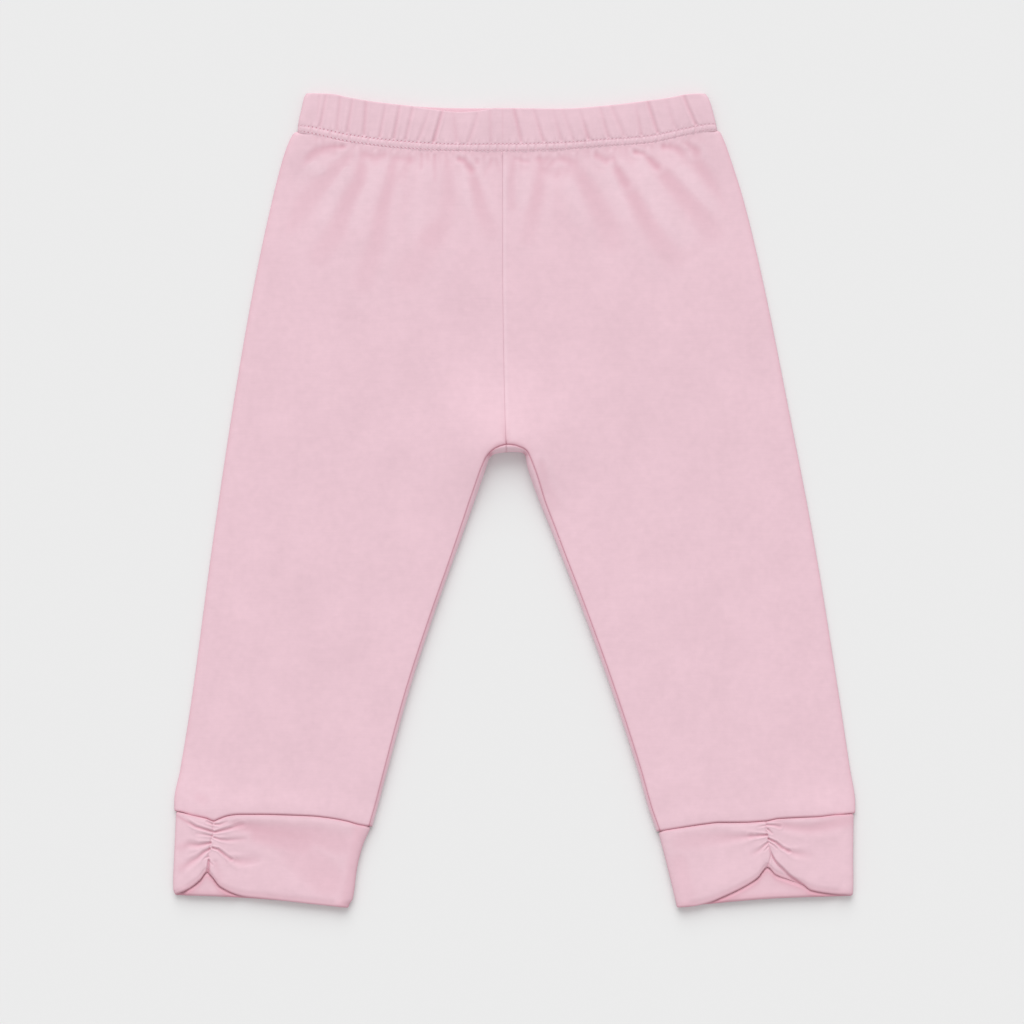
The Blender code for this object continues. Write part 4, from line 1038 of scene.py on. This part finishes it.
def thread(name):
    """Twisted polyester thread, a shade lighter than the cloth."""
    finish = Finish(name)
    place = finish.node("ShaderNodeTexCoord", {}, {}, OBJECT_PLACE)
    twist = finish.noise(place, scale=2500, detail=1)
    bump = finish.node("ShaderNodeBump", {}, {"Strength": 0.4, "Distance": 0.00003, "Height": twist})
    return finish.surface({
        "Base Color": finish.blend(twist, THREAD_PINK, shaded(THREAD_PINK, 0.9)),
        "Roughness": 0.6, "Normal": bump, "Sheen Weight": 0.15,
    })


for line in needle_lines:
    line[:, 2] = np.maximum(line[:, 2] - STITCH_BURY, THREAD_RADIUS)
waist_stitches = sew("waist_stitches", needle_lines)
waist_stitches.data.materials.append(thread("waist_thread"))
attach(waist_stitches, "root")


# Cuffs. Each is a doubled band of the same jersey, folded at its lower edge and sewn to the
# leg. A short line of gathering in front draws the edge up into an arch, with creases that
# run out from it on both sides.

CUFF_WALL = 1.8
CUFF_INSIDE = 1.4
CUFF_TOP_LEVEL = 5.0
CUFF_FOLD_REACH = 4.5
CUFF_FOLD_UNDER = 2.2
CUFF_EDGE_ROLL = 1.5  # at the hem
CUFF_SEAM_ROLL = 1.1
CUFF_RELIEF = 0.7
# painted shade in the creases of the cuff
CUFF_CREASE_SHADE = 0.5
RUCHE_PINCH, RUCHE_WIDTH, RUCHE_POWER = 0.45, 0.5, 1.3  # the line draws the cloth in
# painted shade along the gathered line
RUCHE_SHADE = 0.8
RUCHE_LIFT = Mark(0.5, 4.0, 3.0)  # and the cloth stands up beside it
CUFF_SIDES, LAYER_SIDES = 0.05, 0.06  # the relief dies out over these shares
BACK_LAYER_LIFT = 1.2  # the back of the cuff stands up where the arch uncovers it
UNCOVERED = (0.2, 1.9)  # rising between these distances below the arch
BACK_LAYER_NEAR = 1.3  # and it lies close under the front layer along the arch
NEAR = (-4.0, -1.0)  # drawing near between these
HEM_LIFT = 1.2
HEM_ROWS = (0.85, 1.0)
# painted shade on the rolled seam and hem edges, along the hem and on the uncovered back layer
SEAM_EDGE_SHADE, HEM_EDGE_SHADE, BACK_LAYER_SHADE = 0.6, 0.42, 0.12
HEM_SHADE = Mark(0.2, 0.0, 0.035)
ARCH_SHADOW = Mark(0.5, 0.4, 2.8)  # painted shadow on the back layer, just below the arch
CUFF_PROFILE = Curve([
    (0, 0.05), (0.04, 0.2), (0.2, 0.05), (0.55, -0.2), (0.85, -0.05), (0.93, -0.12), (1, -0.5),
])

# The edges give x at each y and the hems y at each x. The ruche is the gathered line, and the
# flap the edge of cloth turned under beside it. The grid's columns stand closer near the crowd.
Cuff = namedtuple("Cuff", "leg outer_edge inner_edge front_hem back_hem ruche creases flap crowd")

LEFT_CUFF_CREASES = [Crease(*row) for row in (
    ([-150.6-162j, -153.4-160.7j], (0.9, 0.5), (0.4, 0.6)),
    ([-150.6-165.7j, -159.1-163.2j, -163.4-160.7j, -168.1-157.9j], (1.3, 0.8), (0.55, 0.9)),
    ([-150.9-167.9j, -154.9-167.1j, -158.5-166.8j], (0.7, 0.2), (0.4, 0.8)),
    ([-151.6-171.3j, -157.7-172.5j, -162.7-172.1j, -167-173.8j], (1.2, 0.4), (0.5, 2.2)),
    ([-152-174.3j, -154.9-176j, -158.1-178.9j, -166.5-184j], (1.2, 0.45), (0.5, 2)),
    ([-152.7-178.2j, -154.5-178.9j, -155.6-180j], (0.5, 0.2), (0.4, 0.5)),
    ([-152.4-180j, -152.8-186j], (1.3, 1.2), (0.45, 0.7)),
    ([-149.5-162.1j, -147-162.1j, -143.5-160.8j], (1, 0.4), (0.4, 0.9)),
    ([-149.8-166j, -142.7-164.3j, -139.1-163.2j, -135.5-162.3j], (1.3, 0.9), (0.5, 1.1)),
    ([-139-162.6j, -128-164.2j, -114.5-165.6j, -100-167.8j, -86-171.5j], (0.75, 0.35), (2.6, 6.5)),
    ([-137.5-162j, -129-163.4j], (0.75, 0.5), (1.6, 3.2)),
    ([-128-167j, -106-171.5j], (0.65, 0.45), (4.5, 6.5)),
    ([-108-176j, -93-190j], (0.25, 0.3), (9, 9)),
    ([-77-166j, -80-186j, -83-202j], (0.5, 0.5), (4.5, 4.5)),
    ([-130-186j, -116-190j], (-0.15, -0.1), (6, 6)),
    ([-149.9-168.6j, -147-169.6j, -143.4-170j, -134.2-169.3j], (0.9, 0.3), (0.4, 1.4)),
    ([-150.6-173.8j, -147.7-174.6j, -143.8-177.9j, -141.3-179.6j], (1.3, 0.9), (0.5, 0.8)),
    ([-141.3-179.6j, -137-180.7j, -129.5-180j], (0.7, 0.25), (1.2, 2.6)),
    ([-144.9-177.9j, -143.4-181.4j], (0.4, 0.2), (0.5, 0.7)),
    ([-152.4-180.4j, -150.6-182.3j], (0.8, 0.4), (0.4, 0.5)),
    ([-149.2-181j, -147.4-189j], (0.35, 0.25), (1.2, 2.2)),
)]

LEFT_CUFF = Cuff(
    leg=LEFT_LEG,
    outer_edge=Curve([
        (-155.8, -169), (-180, -170), (-190, -170.4), (-196, -170.4), (-197.7, -169.6),
    ]),
    inner_edge=Curve([
        (-163.3, -72), (-172.5, -75.7), (-184.5, -78.5), (-200.5, -80.6), (-203.8, -82.5),
    ]),
    front_hem=Curve([
        (-169.8, -197.2), (-163.5, -194.8), (-157, -190), (-153.5, -186), (-151.5, -187.5),
        (-147, -193), (-140.5, -196.5), (-134.5, -198.2), (-127, -199),
        (-105, -201.5), (-83, -203.9),
    ]),
    back_hem=Curve([
        (-169.8, -197.6), (-147, -198.3), (-127, -199.5), (-105.5, -201.5), (-83, -203.9),
    ]),
    ruche=[
        -150-160.6j, -150.5-164j, -150.5-166.5j, -151.2-169j, -151.8-171j,
        -152-174j, -152.8-178j, -152.9-180.7j, -153.2-183.5j, -153.5-186j,
    ],
    creases=LEFT_CUFF_CREASES,
    flap=None,
    crowd=0.17,
)

RIGHT_CUFF_CREASES = [Crease(*row) for row in (
    ([125.8-162.6j, 122.3-163.1j], (0.6, 0.2), (0.4, 0.6)),
    ([126.4-167.4j, 122.7-167.6j, 118.2-168j], (1.3, 0.8), (0.5, 1.1)),
    ([118.2-168j, 110-168.7j, 103-168.6j], (0.75, 0.25), (1.2, 2.8)),
    ([107-168.5j, 84-170.5j], (0.35, 0.2), (3, 5)),
    ([82-182j, 86-200j], (0.25, 0.2), (5, 5)),
    ([126.8-171.1j, 122.7-174.9j, 119-177j], (0.9, 0.15), (0.4, 1.4)),
    ([126.9-173.4j, 125-175.2j], (0.6, 0.3), (0.4, 0.5)),
    ([126.4-162.3j, 130.2-162.5j, 132.8-163.2j], (1.1, 0.8), (0.45, 0.8)),
    ([131.5-162.2j, 140-163.6j, 148-164.2j, 156-162.6j, 168-159.8j], (0.6, 0.5), (1.8, 3.6)),
    ([126.8-164.4j, 128.9-166.5j], (1, 0.4), (0.4, 0.5)),
    ([127.2-169.3j, 130.9-171.1j, 133.9-173.7j, 137.5-175.6j], (1.3, 1), (0.45, 0.8)),
    ([136.9-175.3j, 140.5-176.6j, 146.6-177.4j], (0.8, 0.2), (0.9, 2.2)),
    ([127.6-171.1j, 129.8-172.6j, 131.2-174j], (0.7, 0.3), (0.4, 0.5)),
)]

RIGHT_CUFF = Cuff(
    leg=RIGHT_LEG,
    outer_edge=Curve([(-156.9, 169.8), (-180, 169.6), (-192, 169.7), (-197.8, 169.5)]),
    inner_edge=Curve([(-165.8, 72.4), (-178.5, 75.5), (-196, 79.5), (-203.8, 81.2)]),
    front_hem=Curve([
        (81.4, -203.8), (90, -203), (98, -201), (104.5, -198.3), (114.5, -193.5),
        (121.5, -189), (126.7, -183.5), (131, -187.3), (138, -190), (144.2, -192.3),
        (148.5, -195), (158, -196.7), (169.4, -197.6),
    ]),
    back_hem=Curve([
        (81.4, -203.8), (97.5, -202), (113, -200.5), (131, -199.2), (153, -198.4),
        (169.4, -198),
    ]),
    ruche=[
        126-160.7j, 126-164.2j, 126.2-166.4j, 126.8-168.2j, 127.2-170j,
        126.9-171.9j, 127.5-173.7j, 127.9-175.2j, 128.3-177.4j, 127.9-179.5j,
        126.6-183.4j,
    ],
    creases=RIGHT_CUFF_CREASES,
    flap=Path([
        127.9-174.6j, 129-177.5j, 130.9-180.8j, 134.6-184.6j, 138.4-188.3j,
        141.4-190.5j, 145.8-193.5j, 148.5-195.2j,
    ]),
    crowd=0.45,
)

FLAP_GROOVE = Mark(1.1, 0.0, 0.6)
FLAP_ROLL, FLAP_DROP = 0.6, 0.9
FLAP_START, FLAP_END = (127.5, 129.5), (148.5, 142.5)  # it fades in between these x
FLAP_SLANT = 0.7  # its edge runs at about 45 degrees, so it is nearer than straight up
CUFF_SWELLS = [(0.07, 41.0, 90.0, 0.5), (0.05, 23.0, -60.0, 2.0)]


def cuff_relief(cuff, plan, row):
    """Height of the creases, the gathered line and, on one cuff, the turned-under flap."""
    line = Curve([(point.imag, point.real) for point in cuff.ruche])
    off = abs(plan.real - line(plan.imag))
    height, trough = creases_at(cuff.creases, plan)
    pinch = RUCHE_PINCH * np.exp(-((off / RUCHE_WIDTH) ** RUCHE_POWER))
    height = CUFF_RELIEF * height - pinch + marked(off, RUCHE_LIFT)
    # painted shade along the gathered line
    trough = np.maximum(trough, RUCHE_SHADE * pinch)
    if cuff.flap:
        edge = Curve(zip(cuff.flap.x.value, cuff.flap.y.value))
        ends = rise(plan.real, *FLAP_START) * rise(plan.real, *FLAP_END)
        below = (edge(plan.real) - plan.imag) * FLAP_SLANT
        groove = marked(below, FLAP_GROOVE) * ends
        height = height - groove - FLAP_DROP * rise(below, 0, FLAP_ROLL) * ends
        # painted shade in the flap's groove
        trough = np.maximum(trough, groove)
    return height + CUFF_PROFILE(row) + waves(plan.real, plan.imag, CUFF_SWELLS), trough


def cuff_surface(cuff, place, row, share, hem_bulge, seam_bulge):
    """The cuff at each place and row: row 0 is its seam to the leg and row 1 its hem."""
    place = place[None, :]
    seam = cuff.leg.cuff_seam
    spans = [
        [
            edge(mix(seam(edge.value[-1]), cuff.front_hem(edge.value[0]), at))
            for edge in (cuff.outer_edge, cuff.inner_edge)
        ]
        for at in (0.0, row, 1.0)
    ]
    layers = [(0.0, 0.0, CUFF_TOP_LEVEL), (CUFF_WALL, CUFF_WALL, CUFF_WALL + CUFF_INSIDE)]
    back = within(place, 1.2, 3.8, 0.6)

    def up_to(top_x, low_x):
        along = (top_x - seam.place[0]) / (seam.place[-1] - seam.place[0])
        top_y = mix(seam(top_x), mix(seam.value[0], seam.value[-1], along), back)
        low_y = mix(cuff.front_hem(low_x), cuff.back_hem(low_x), back)
        y = mix(top_y - CUFF_SEAM_ROLL, low_y + CUFF_EDGE_ROLL, row)
        return y - CUFF_EDGE_ROLL * hem_bulge + CUFF_SEAM_ROLL * seam_bulge

    skins = ring_skins(place, spans, CUFF_FOLD_REACH, CUFF_FOLD_UNDER, layers, up_to)
    x, y, _ = skins[0]
    height, trough = cuff_relief(cuff, x + 1j * y, row)
    _, back_trough = creases_at(cuff.creases, x + 1j * y + BACK_SHIFT)
    front = within(place, 0, 1, CUFF_SIDES)
    behind = within(place, 2, 3, CUFF_SIDES)
    on_layer = within(place, 2, 3, LAYER_SIDES)
    below_arch = cuff.front_hem(x) - y
    uncovered = rise(below_arch, *UNCOVERED) * on_layer
    relief = height * front + BACK_RELIEF * np.maximum(back_trough, 0) * behind
    skins[0][2] = skins[0][2] + relief + HEM_LIFT * uncovered * rise(row, *HEM_ROWS)
    near = BACK_LAYER_NEAR * rise(below_arch, *NEAR) * on_layer
    skins[1][2] = skins[1][2] + near + BACK_LAYER_LIFT * uncovered
    upper = (place < 1.5) | (place > 3.5)
    # painted shade: creases and folds outside, the uncovered back layer and the arch's shadow inside
    outside = CUFF_CREASE_SHADE * (trough * upper + back_trough * behind) + FOLD_EDGE_SHADE * fold_edge(place)
    inside = BACK_LAYER_SHADE * uncovered
    inside = inside + marked(below_arch, ARCH_SHADOW) * ((place > 1.5) & (place < 3.5))
    edges = SEAM_EDGE_SHADE * seam_bulge + HEM_EDGE_SHADE * hem_bulge ** 1.5
    painted_shading = mix(outside, inside, share) + edges + marked(1 - row, HEM_SHADE)
    return between_skins(skins, share), np.clip(painted_shading, PALEST, 1)


CROWDING, CROWD_WIDTH = 3.5, 0.16


def crowded(centre, count):
    """Places from 0 to 1 that stand closer together near the centre."""
    fine = np.linspace(0, 1, 2001)
    total = np.cumsum(1 + CROWDING * bell(fine - centre, CROWD_WIDTH))
    return np.interp(np.linspace(total[0], total[-1], count), total, fine)


for cuff, name, cut in (
    (LEFT_CUFF, "cuff_left", (0.196, 0.042)),
    (RIGHT_CUFF, "cuff_right", (0.196, 0.042)),
):
    front_places = crowded(cuff.crowd, 230)
    back_places = 2 + crowded(1 - cuff.crowd, 110)
    places = np.concatenate([
        front_places[:-1], stations((1, 2, 16))[:-1], back_places[:-1], stations((3, 4, 16)),
    ])
    loop = wall_loop(stations((0, 1, 100)), 13, stations((0, 0.4, 6), (0.4, 1, 44)))
    row, share, hem_bulge, seam_bulge = [column[:, None] for column in loop.T]
    grid = cuff_surface(cuff, places, row, share, hem_bulge, seam_bulge)
    band = lay_cloth(name + "_band", [grid], closed=True)
    band.data.materials.append(jersey(name + "_jersey"))
    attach(band, "root")
    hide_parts(name)


# Table, soft light and camera. The light comes from beyond the waist and a little from the
# left, as wide as a window, and the camera looks straight down from well above.

TABLE_REACH = 3.0  # from its middle to each edge, in metres

table_grid = bmesh.new()
bmesh.ops.create_grid(table_grid, x_segments=1, y_segments=1, size=TABLE_REACH)
table = modelled("table", table_grid)
table.data.materials.append(Finish("pale_table").surface({
    "Base Color": (0.823, 0.823, 0.823, 1.0), "Roughness": 0.95, "Specular IOR Level": 0.1,
}))

SKY = 0.654  # light from all round
KEY = 1.858  # light from beyond the waist
KEY_SPREAD = math.radians(50)
KEY_FROM = Vector((-0.1, 1.0, 0.771))

world = bpy.data.worlds.new("studio")
world.use_nodes = True
background = world.node_tree.nodes["Background"]
background.inputs["Color"].default_value = (1.0, 1.0, 1.0, 1.0)
background.inputs["Strength"].default_value = SKY
bpy.context.scene.world = world
key_light = bpy.data.lights.new("key", "SUN")
key_light.energy = KEY
key_light.angle = KEY_SPREAD
key = put_in_scene("key", key_light)
key.rotation_euler = KEY_FROM.to_track_quat("Z", "Y").to_euler()

VIEW_WIDTH = 512.0  # of the table, across the picture
VIEW_CENTRE = (-1.0, -6.0)
VIEW_LEVEL = 3.0  # the height at which that width is true
LENS = 180.0

camera_data = bpy.data.cameras.new("camera")
camera_data.lens = LENS
camera_data.sensor_width = 36.0
camera = put_in_scene("camera", camera_data)
distance = VIEW_WIDTH * LENS / camera_data.sensor_width
camera.location = (VIEW_CENTRE[0] * MM, VIEW_CENTRE[1] * MM, (VIEW_LEVEL + distance) * MM)
bpy.context.scene.camera = camera
bpy.context.scene.view_settings.view_transform = "Standard"
